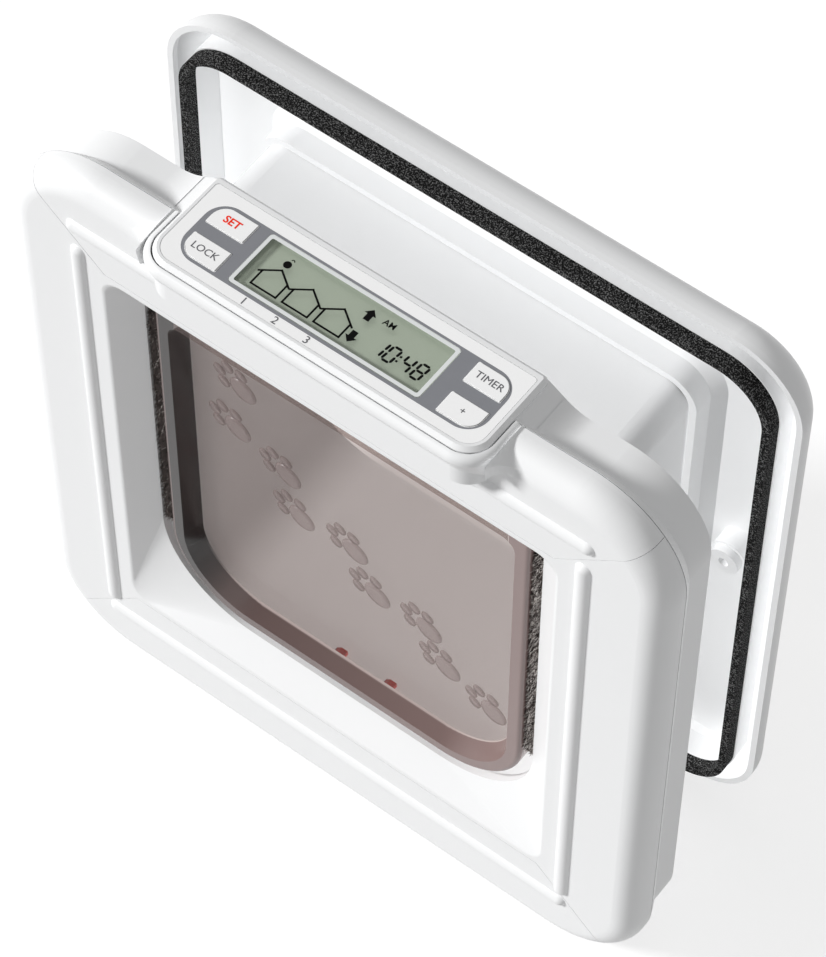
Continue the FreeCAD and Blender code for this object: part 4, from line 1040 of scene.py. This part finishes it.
    def add_frame(self) -> None:
        """Pale raised border round the clear pane."""
        low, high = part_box("display_window")
        edges = (low.x / MM, high.x / MM, low.y / MM, high.y / MM)
        outer = rounded_outline(*edges, (self.frame_corner,) * 4)
        inset = self.frame_inset
        inner = rounded_outline(
            edges[0] + inset, edges[1] - inset, edges[2] + inset, edges[3] - inset,
            (self.frame_inner_corner,) * 4,
        )
        mesh = bmesh.new()
        add_sheet(mesh, outer, [inner], high.z, self.frame_rise)
        add_mesh("window_frame", mesh, WINDOW_FRAME, Moves.CASING)


@dataclass
class FlapPaws:
    """Trail of paw prints raised on the flap's sheet. Lengths are millimetres.

    Args:
        relief: height of a print over the sheet.
        sheet_depth: depth of the sheet's face before the flap's back.
        pad_half_length, pad_half_width, pad_ahead: half sizes of the pad, and its place.
        toe_half_length, toe_half_width: half sizes of a toe.
        toes: places of the toes, along the print and across it.
        edge_share: share of an oval's width that its rounded edge takes.
        heading: direction of the print in degrees.
        prints: middles of the prints.
        rings, spokes: rings in an oval's edge and points round it.
    """

    relief: float = 0.75
    sheet_depth: float = 2.0
    pad_half_length: float = 5.2
    pad_half_width: float = 4.1
    pad_ahead: float = 1.5
    toe_half_length: float = 2.5
    toe_half_width: float = 1.65
    toes: tuple[Point2, ...] = ((-3.2, 4.7), (-7.4, 2.0), (-7.5, -2.4), (-3.4, -5.0))
    edge_share: float = 0.2
    heading: float = -40.0
    prints: tuple[Point2, ...] = (
        (-41.0, 41.3), (-43.8, 19.4), (-25.3, 11.4), (-20.6, -6.9), (-0.6, -6.5),
        (7.6, -22.9), (26.9, -23.8), (34.0, -38.6), (51.4, -46.6),
    )
    rings: int = 4
    spokes: int = 28

    def build(self) -> None:
        """Nine prints that walk down to the right across the sheet."""
        mesh = bmesh.new()
        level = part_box("flap")[1].y - self.sheet_depth * MM
        for x, z in self.prints:
            self.add_print(mesh, x, z, level)
        add_mesh("paw_trail", mesh, PAW_SMOKE, Moves.FLAP)

    def add_print(self, mesh: bmesh.types.BMesh, x: float, z: float, level: float) -> None:
        """One print: an oval pad and four toes ahead of it.

        Args:
            mesh: the bmesh that takes it.
            x, z: middle of the print.
            level: depth of the sheet's face in metres.
        """
        turn = math.radians(self.heading)
        ahead = Vector((math.cos(turn), math.sin(turn)))
        aside = Vector((-ahead.y, ahead.x))
        centre = Vector((x, z)) + ahead * self.pad_ahead
        self.add_dome(mesh, centre, ahead, self.pad_half_length, self.pad_half_width, level)
        for along, across in self.toes:
            toe = Vector((x, z)) + ahead * along + aside * across
            self.add_dome(mesh, toe, ahead, self.toe_half_length, self.toe_half_width, level)

    def add_dome(
        self, mesh: bmesh.types.BMesh, centre: Vector, along: Vector,
        half_length: float, half_width: float, level: float,
    ) -> None:
        """A low oval on the sheet, with a rounded edge and a level top.

        Args:
            mesh: the bmesh that takes it.
            centre: its middle.
            along: its long direction.
            half_length, half_width: its half sizes.
            level: depth of the sheet's face in metres.
        """
        across = Vector((-along.y, along.x))
        rings, spokes = self.rings, self.spokes
        previous = None
        for ring in range(rings + 1):
            slope = math.radians(90 * ring / rings)
            spread = 1 - self.edge_share * (1 - math.cos(slope))
            height = level - self.relief * MM * math.sin(slope)
            current = []
            for i in range(spokes):
                angle = math.tau * i / spokes
                flat = centre + along * half_length * spread * math.cos(angle)
                flat = flat + across * half_width * spread * math.sin(angle)
                current.append(mesh.verts.new(Vector((flat.x * MM, height, flat.y * MM))))
            if previous:
                for i in range(spokes):
                    after = (i + 1) % spokes
                    mesh.faces.new((previous[i], previous[after], current[after], current[i]))
            previous = current
        tip = mesh.verts.new(Vector((centre.x * MM, height, centre.y * MM)))
        for i in range(spokes):
            mesh.faces.new((previous[i], previous[(i + 1) % spokes], tip))


@dataclass
class RibEnds:
    """Rounded ends of the four ribs on the front. Lengths are millimetres.

    Args:
        rib_round: radius of a rib's section.
        rib_rise: height of a rib over the front face.
        steps: rings from the middle of an end to its edge.
        spokes: spokes round half a turn.
        side_place, side_top, side_drop: place and ends of the two side ribs.
        cover_height, cover_reach: height and half length of the upper rib.
        strip_drop, strip_reach: depth and half length of the lower rib.
    """

    rib_round: float = 3.0
    rib_rise: float = 1.6
    steps: int = 6
    spokes: int = 16
    side_place: float = 88.4
    side_top: float = 81.2
    side_drop: float = 100.1
    cover_height: float = 92.5
    cover_reach: float = 89.0
    strip_drop: float = 107.5
    strip_reach: float = 87.8

    def build(self) -> None:
        """Put an end on every rib, on the body that carries the rib."""
        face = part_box("front_bezel")[0].y / MM + self.rib_rise
        bezel = [(x, z, turn) for x in (-self.side_place, self.side_place)
                 for z, turn in ((self.side_top, 90), (-self.side_drop, 270))]
        cover = [(-self.cover_reach, self.cover_height, 180),
                 (self.cover_reach, self.cover_height, 0)]
        strip = [(-self.strip_reach, -self.strip_drop, 180),
                 (self.strip_reach, -self.strip_drop, 0)]
        for name, ends, rides in (
            ("bezel_rib_ends", bezel, Moves.CASING),
            ("cover_rib_ends", cover, Moves.COVER),
            ("strip_rib_ends", strip, Moves.CASING),
        ):
            mesh = bmesh.new()
            for x, z, turn in ends:
                self.add_end(mesh, x, z, math.radians(turn), face)
            smooth(add_mesh(name, mesh, WHITE_PLASTIC, rides))

    def add_end(
        self, mesh: bmesh.types.BMesh, x: float, z: float, turn: float, face: float
    ) -> None:
        """One closed half cap that turns a rib's section through half a circle.

        Args:
            mesh: the bmesh that takes it.
            x, z: middle of the rib's end.
            turn: the direction in which the rib ends, in radians.
            face: depth of the front face.
        """
        sink = self.rib_round - self.rib_rise
        reach = math.sqrt(self.rib_round ** 2 - sink ** 2)
        crown = mesh.verts.new(Vector((x, face - self.rib_rise, z)) * MM)
        foot = mesh.verts.new(Vector((x, face, z)) * MM)
        rows = []
        for step in range(1, self.steps + 1):
            radius = reach * step / self.steps
            rise = math.sqrt(self.rib_round ** 2 - radius ** 2) - sink
            row = []
            for spoke in range(self.spokes + 1):
                angle = turn + math.pi * (spoke / self.spokes - 0.5)
                aside, up = radius * math.cos(angle), radius * math.sin(angle)
                row.append(mesh.verts.new(Vector((x + aside, face - rise, z + up)) * MM))
            rows.append(row)
        for spoke in range(self.spokes):
            mesh.faces.new((crown, rows[0][spoke + 1], rows[0][spoke]))
            for near, far in zip(rows, rows[1:]):
                mesh.faces.new((near[spoke], near[spoke + 1], far[spoke + 1], far[spoke]))
            mesh.faces.new((rows[-1][spoke], rows[-1][spoke + 1], foot))
        ends = [[row[0] for row in rows], [row[-1] for row in reversed(rows)]]
        mesh.faces.new((foot, crown, *ends[0]))
        mesh.faces.new((*ends[1], crown, foot))
        bmesh.ops.recalc_face_normals(mesh, faces=mesh.faces[:])


@dataclass
class FlareBlends:
    """Hollow blends where the housing's flanks meet the casing's top. Lengths are millimetres.

    Args:
        flank_x, flank_z: top of the flare's slope, on the right.
        foot_x, foot_z: foot of the slope, just under the casing's top.
        blend: radius of the hollow.
        casing_top: height of the casing's top.
        front, back: depths between which the blend runs.
        sink, tuck: how far the blend reaches into the casing's top and into the slope.
        steps: straight pieces in its arc.
    """

    flank_x: float = 57.1
    flank_z: float = 112.3
    foot_x: float = 67.0
    foot_z: float = 105.6
    blend: float = 17.0
    casing_top: float = 106.0
    front: float = -16.3
    back: float = -0.1
    sink: float = 0.2
    tuck: float = 0.4
    steps: int = 14

    def build(self) -> None:
        """Fill the corner beside both flanks with a hollow curve."""
        mesh = bmesh.new()
        for sign in (-1, 1):
            self.add_blend(mesh, sign)
        bmesh.ops.recalc_face_normals(mesh, faces=mesh.faces[:])
        add_mesh("housing_flare_blends", mesh, WHITE_PLASTIC, Moves.CASING)

    def add_blend(self, mesh: bmesh.types.BMesh, sign: int) -> None:
        """One blend, as a bar whose section lies between the slope, the top and an arc.

        Args:
            mesh: the bmesh that takes it.
            sign: one on the right and minus one on the left.
        """
        fall = math.atan2(self.flank_z - self.foot_z, self.foot_x - self.flank_x)
        corner = self.foot_x - (self.casing_top - self.foot_z) / math.tan(fall)
        tangent = self.blend * math.tan(fall / 2)
        centre_x, centre_z = corner + tangent, self.casing_top + self.blend
        arc = []
        for step in range(self.steps + 1):
            turn = math.radians(270) - fall * (1 - step / self.steps)
            aside, up = self.blend * math.cos(turn), self.blend * math.sin(turn)
            arc.append((centre_x + aside, centre_z + up))
        low = self.casing_top - self.sink
        section = [*arc, (arc[-1][0], low), (corner - self.tuck, low)]
        rings = []
        for depth in (self.front, self.back):
            rings.append([mesh.verts.new(Vector((x * sign, depth, z)) * MM) for x, z in section])
        count = len(section)
        for i in range(count):
            after = (i + 1) % count
            mesh.faces.new((rings[0][i], rings[0][after], rings[1][after], rings[1][i]))
        mesh.faces.new(rings[0])
        mesh.faces.new(list(reversed(rings[1])))


@dataclass
class BulgeBlends:
    """Hollow blends between the battery cover's swelling and its rounded front.

    Lengths are millimetres. The cover's front is a flat face that rolls over to its top in a
    quarter round. The swelling stands on it and tapers from its shoulder down to its foot.

    Args:
        face: depth of the flat front.
        roll: radius of the quarter round.
        top: height of the cover's top.
        seam: depth of the seam behind the cover.
        foot, shoulder, crown: heights of the swelling's foot, shoulder and top.
        foot_half, shoulder_half: half widths there.
        foot_front, shoulder_front: how far its front stands indoors there.
        foot_corner, shoulder_corner: radii of its front corners there.
        share: radius of the blend as a share of the swelling's height over the cover.
        least: smallest radius of the blend.
        sink, tuck: how far a section reaches into the cover and into the swelling.
        foot_margin: how far above the swelling's foot the blend ends.
        steps: straight pieces in the blend's arc.
        stations: sections along each stretch.
    """

    face: float = -26.5
    roll: float = 8.0
    top: float = 112.5
    seam: float = -16.8
    foot: float = 86.5
    shoulder: float = 110.0
    crown: float = 113.3
    foot_half: float = 57.6
    shoulder_half: float = 59.8
    foot_front: float = 25.9
    shoulder_front: float = 36.4
    foot_corner: float = 7.0
    shoulder_corner: float = 10.5
    share: float = 0.75
    least: float = 0.05
    sink: float = 0.25
    tuck: float = 1.5
    foot_margin: float = 2.0
    steps: int = 10
    stations: int = 14

    def build(self) -> None:
        """Run a blend down both flanks of the swelling."""
        mesh = bmesh.new()
        sections = [*self.rolled_sections(), *self.front_sections()]
        for sign in (-1, 1):
            rings = [
                [mesh.verts.new(Vector((x * sign, y, z)) * MM) for x, y, z in section]
                for section in sections
            ]
            count = len(rings[0])
            for near, far in zip(rings, rings[1:]):
                for i in range(count):
                    after = (i + 1) % count
                    mesh.faces.new((near[i], near[after], far[after], far[i]))
            mesh.faces.new(rings[0])
            mesh.faces.new(list(reversed(rings[-1])))
        bmesh.ops.recalc_face_normals(mesh, faces=mesh.faces[:])
        smooth(add_mesh("cover_bulge_blends", mesh, WHITE_PLASTIC, Moves.COVER))

    def along(self, low: float, high: float, z: float) -> float:
        """A size of the swelling at a height, between its foot and its shoulder.

        Args:
            low, high: the size at the foot and at the shoulder.
            z: the height.

        Returns:
            The size at that height.
        """
        share = min(1.0, (z - self.foot) / (self.shoulder - self.foot))
        return low + (high - low) * share

    def rolled_sections(self) -> list[list[tuple[float, float, float]]]:
        """Sections over the cover's top and its quarter round, where the flank is upright.

        Returns:
            Closed sections, each a list of points.
        """
        middle_y, middle_z = self.face + self.roll, self.top - self.roll
        sections = []
        for station in range(self.stations + 1):
            turn = math.pi / 2 * station / self.stations
            out_y, out_z = -math.sin(turn), math.cos(turn)
            y, z = middle_y + self.roll * out_y, middle_z + self.roll * out_z
            height = (self.crown - z) / out_z if out_z > LEVEL_LIMIT else self.shoulder_front
            front = self.along(self.foot_front, self.shoulder_front, z)
            height = min(height, (front + y) / max(LEVEL_LIMIT, -out_y))
            blend = self.share * height
            flank = self.along(self.foot_half, self.shoulder_half, z)
            section = [(flank - self.sink, y - out_y * self.sink, z - out_z * self.sink)]
            for step in range(self.steps + 1):
                angle = math.pi / 2 * step / self.steps
                aside = blend * (1 - math.sin(angle))
                rise = blend * (1 - math.cos(angle))
                section.append((flank + aside, y + out_y * rise, z + out_z * rise))
            if station == 0:
                sections.append([(x, self.seam, up) for x, _, up in section])
            sections.append(section)
        return sections

    def front_sections(self) -> list[list[tuple[float, float, float]]]:
        """Sections down the flat front, between a rounded corner and the face.

        Returns:
            Closed sections, each a list of points.
        """
        start = self.top - self.roll
        end = self.foot + self.foot_margin
        sections = []
        for station in range(1, self.stations + 1):
            z = start + (end - start) * station / self.stations
            half = self.along(self.foot_half, self.shoulder_half, z)
            front = self.along(self.foot_front, self.shoulder_front, z)
            corner = self.along(self.foot_corner, self.shoulder_corner, z)
            blend = max(self.least, self.share * (front + self.face))
            hub_x, hub_y = half - corner, corner - front
            drop = self.face - blend - hub_y
            middle_x = hub_x + math.sqrt((corner + blend) ** 2 - drop ** 2)
            middle_y = self.face - blend
            lean = math.atan2(hub_y - middle_y, hub_x - middle_x)
            section = [(hub_x + corner - self.tuck, self.face + self.sink, z)]
            for step in range(self.steps + 1):
                angle = math.pi / 2 + (lean - math.pi / 2) * step / self.steps
                aside, ahead = blend * math.cos(angle), blend * math.sin(angle)
                section.append((middle_x + aside, middle_y + ahead, z))
            sections.append(section)
        return sections


@dataclass
class BrushPile:
    """Fuzzy pile that stands out of both brush strips. Lengths are metres.

    Args:
        fibres: number of fibres on a strip.
        length, radius: longest fibre and its radius.
        lip: how far from the middle the pile reaches.
        root_depth: how far a fibre is rooted behind the strip's front.
        shares: share of pale fibres on each side.
        seed: seed of the scatter.
    """

    fibres: int = 2600
    length: float = 0.0022
    radius: float = 0.00009
    lip: float = 0.0706
    root_depth: float = 0.0002
    shares: tuple[tuple[str, float], ...] = (("left", 0.04), ("right", 0.4))
    seed: int = 7

    def build(self) -> None:
        """Scatter short bent fibres over the front and inner faces of each strip."""
        for side, pale in self.shares:
            strip, pile = f"brush_strip_{side}", f"brush_pile_{side}"
            self.grow(strip, f"{pile}_dark", BRUSH_FIBRE, 1 - pale)
            self.grow(strip, f"{pile}_pale", BRUSH_PALE_FIBRE, pale)

    def grow(self, node: str, name: str, finish: Finish, share: float) -> None:
        """Grow one colour of fibre on one strip.

        Args:
            node: the CAD strip that carries the pile.
            name: the new piece's name.
            finish: the fibre's finish.
            share: share of all the fibres.
        """
        chance = random.Random(f"{self.seed}{name}")
        low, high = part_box(node)
        mesh = bmesh.new()
        inner = low.x if low.x > 0 else high.x
        lip = math.copysign(self.lip, low.x)
        for _ in range(int(self.fibres * share)):
            z = chance.uniform(low.z, high.z)
            x = chance.uniform(min(inner, lip), max(inner, lip))
            root = Vector((x, low.y + self.root_depth, z))
            lean = Vector((chance.uniform(-0.5, 0.5), -1, chance.uniform(-0.9, 0.9)))
            lean.normalize()
            self.add_fibre(mesh, root, lean * self.length * chance.uniform(0.4, 1.0), chance)
        add_mesh(name, mesh, finish, Moves.CASING)

    def add_fibre(
        self, mesh: bmesh.types.BMesh, root: Vector, reach: Vector, chance: random.Random
    ) -> None:
        """One fibre: a thin three-sided spike with a bend.

        Args:
            mesh: the bmesh that takes it.
            root: its foot.
            reach: from its foot to its tip.
            chance: source of the bends.
        """
        side = reach.cross(Vector((0, 0, 1)))
        side.normalize()
        other = side.cross(reach)
        other.normalize()
        bend = side * chance.uniform(-0.3, 0.3) * self.length
        rings = []
        for share, width in ((0.0, 1.0), (0.55, 0.8)):
            middle = root + reach * share + bend * share * (1 - share) * 2
            ring = []
            for turn in range(3):
                angle = math.tau * turn / 3
                step = (side * math.cos(angle) + other * math.sin(angle)) * self.radius * width
                ring.append(mesh.verts.new(middle + step))
            rings.append(ring)
        tip = mesh.verts.new(root + reach)
        for turn in range(3):
            after = (turn + 1) % 3
            mesh.faces.new((rings[0][turn], rings[0][after], rings[1][after], rings[1][turn]))
            mesh.faces.new((rings[1][turn], rings[1][after], tip))


@dataclass
class Studio:
    """Camera, lamps, world and floor. Lengths are metres.

    Args:
        eye: the camera's place.
        right, up: the camera's own axes.
        focal_pixels: focal length in the photograph's pixels.
        sensor: height of the sensor in millimetres.
        clip_end: how far the camera sees.
        floor_height, floor_half: height and half width of the floor.
        floor_tone, floor_roughness, floor_glow: its colour, roughness and shine to the camera.
        world_strength: strength of the even light.
        key_strength: strength of the key lamps.
        outdoor_share: the outdoor lamp's share of it.
        key_angle: how wide the key is, in degrees.
        key_towards: direction from the object to the key.
        outdoor_nodes: the nodes of the outdoor half and the tunnel.
        clear_pieces: pieces that cast no shadow.
    """

    eye: Vector = field(default_factory=lambda: Vector((0.4003, -0.5172, 0.9881)))
    right: Vector = field(default_factory=lambda: Vector((0.79637, 0.60482, 0.00295)))
    up: Vector = field(default_factory=lambda: Vector((-0.50344, 0.66017, 0.55742)))
    focal_pixels: float = 4006.0
    sensor: float = 36.0
    clip_end: float = 20.0
    floor_height: float = -0.1325
    floor_half: float = 3.0
    world_strength: float = 0.385
    key_strength: float = 3.0
    outdoor_share: float = 0.94
    key_angle: float = 12.0
    key_towards: Vector = field(default_factory=lambda: Vector((-0.695, -0.548, 0.465)))
    outdoor_nodes: tuple[str, ...] = ("tunnel_liner", "outdoor_frame", "foam_gasket")
    clear_pieces: tuple[str, ...] = (
        "display_window", "display_segments", "display_morning", "paw_trail",
    )
    floor_tone: float = 0.45
    floor_roughness: float = 0.9
    floor_glow: float = 0.68

    def build(self) -> None:
        """Set up everything that isn't part of the object."""
        self.place_camera()
        self.lay_floor()
        self.hang_lamps()
        self.paint_world()
        bpy.context.scene.view_settings.view_transform = "Standard"

    def place_camera(self) -> None:
        """Camera at the photograph's angle, with the photograph's perspective."""
        data = bpy.data.cameras.new("camera")
        data.sensor_fit = "VERTICAL"
        data.sensor_height = self.sensor
        data.lens = self.focal_pixels * self.sensor / PHOTO_HEIGHT
        data.clip_end = self.clip_end
        camera = bpy.data.objects.new("camera", data)
        bpy.context.scene.collection.objects.link(camera)
        back = self.right.cross(self.up)
        turn = Matrix((self.right, self.up, back)).transposed().to_4x4()
        camera.matrix_world = Matrix.Translation(self.eye) @ turn
        bpy.context.scene.camera = camera

    def hang_lamps(self) -> None:
        """One soft key from the upper left front, hung once for each group of pieces.

        The indoor half takes shadows only from its own pieces and the outdoor half takes none, so
        neither darkens the other across the gap that the door fills. The floor takes them all.
        """
        groups = {group: bpy.data.collections.new(f"lit_{group.value}") for group in Lit}
        blockers = bpy.data.collections.new("blockers")
        for piece in bpy.context.scene.objects:
            if piece.type == "MESH":
                group = self.group_of(piece)
                groups[group].objects.link(piece)
                if group is Lit.INDOORS and piece.name not in self.clear_pieces:
                    blockers.objects.link(piece)
        for group, pieces in groups.items():
            data = bpy.data.lights.new(f"key_{group.value}", "SUN")
            data.energy = self.key_strength * (self.outdoor_share if group is Lit.OUTDOORS else 1)
            data.angle = math.radians(self.key_angle)
            lamp = bpy.data.objects.new(data.name, data)
            lamp.rotation_mode = "QUATERNION"
            lamp.rotation_quaternion = self.key_towards.to_track_quat("Z", "Y")
            lamp.light_linking.receiver_collection = pieces
            if group is Lit.INDOORS:
                lamp.light_linking.blocker_collection = blockers
            data.use_shadow = group is not Lit.OUTDOORS
            bpy.context.scene.collection.objects.link(lamp)

    def group_of(self, piece: bpy.types.Object) -> Lit:
        """The group of pieces that a piece is lit with.

        Args:
            piece: a CAD node, an added piece or the floor.

        Returns:
            The floor, the outdoor half with the tunnel, or the indoor half.
        """
        if piece.name == "floor":
            return Lit.FLOOR
        if piece.name in self.outdoor_nodes:
            return Lit.OUTDOORS
        return Lit.INDOORS

    def paint_world(self) -> None:
        """Pale even light, and plain white where the camera, gloss or clear plastic sees it."""
        world = bpy.data.worlds.new("studio")
        bpy.context.scene.world = world
        world.use_nodes = True
        nodes, links = world.node_tree.nodes, world.node_tree.links
        background = nodes["Background"]
        background.inputs["Color"].default_value = (1, 1, 1, 1)
        strength = nodes.new("ShaderNodeMix")
        strength.inputs["A"].default_value = self.world_strength
        strength.inputs["B"].default_value = 1.0
        links.new(seen_directly(world.node_tree), strength.inputs["Factor"])
        links.new(strength.outputs["Result"], background.inputs["Strength"])

    def lay_floor(self) -> None:
        """Plain pale floor below the object."""
        mesh = bmesh.new()
        half = self.floor_half
        corners = [(-half, -half), (half, -half), (half, half), (-half, half)]
        mesh.faces.new([mesh.verts.new((x, y, self.floor_height)) for x, y in corners])
        data = bpy.data.meshes.new("floor")
        mesh.to_mesh(data)
        mesh.free()
        floor = bpy.data.objects.new("floor", data)
        bpy.context.scene.collection.objects.link(floor)
        finish = bpy.data.materials.new("pale_floor")
        finish.use_nodes = True
        nodes, links = finish.node_tree.nodes, finish.node_tree.links
        shader = nodes["Principled BSDF"]
        tone = self.floor_tone
        shader.inputs["Base Color"].default_value = (tone, tone, tone, 1)
        shader.inputs["Roughness"].default_value = self.floor_roughness
        glow = nodes.new("ShaderNodeEmission")
        shine = maths(finish.node_tree, "MULTIPLY", seen_directly(finish.node_tree), self.floor_glow)
        links.new(shine, glow.inputs["Strength"])
        both = nodes.new("ShaderNodeAddShader")
        links.new(shader.outputs["BSDF"], both.inputs[0])
        links.new(glow.outputs["Emission"], both.inputs[1])
        links.new(both.outputs["Shader"], nodes["Material Output"].inputs["Surface"])
        data.materials.append(finish)


def seen_directly(tree: bpy.types.NodeTree) -> bpy.types.NodeSocket:
    """One where the camera, gloss or clear plastic looks, and nought for the light that spreads.

    Args:
        tree: the node tree of the world or a material.

    Returns:
        The value output.
    """
    path = tree.nodes.new("ShaderNodeLightPath").outputs
    first = maths(tree, "MAXIMUM", path["Is Camera Ray"], path["Is Glossy Ray"])
    return maths(tree, "MAXIMUM", first, path["Is Transmission Ray"])


def main() -> None:
    """Dress the solids and build every added piece, then set up the studio."""
    logging.basicConfig(level=logging.INFO, format="%(message)s")
    dress_nodes()
    Panel().build()
    Display().build()
    FlapPaws().build()
    RibEnds().build()
    FlareBlends().build()
    BulgeBlends().build()
    BrushPile().build()
    Studio().build()


if __name__ == "__main__":
    main()
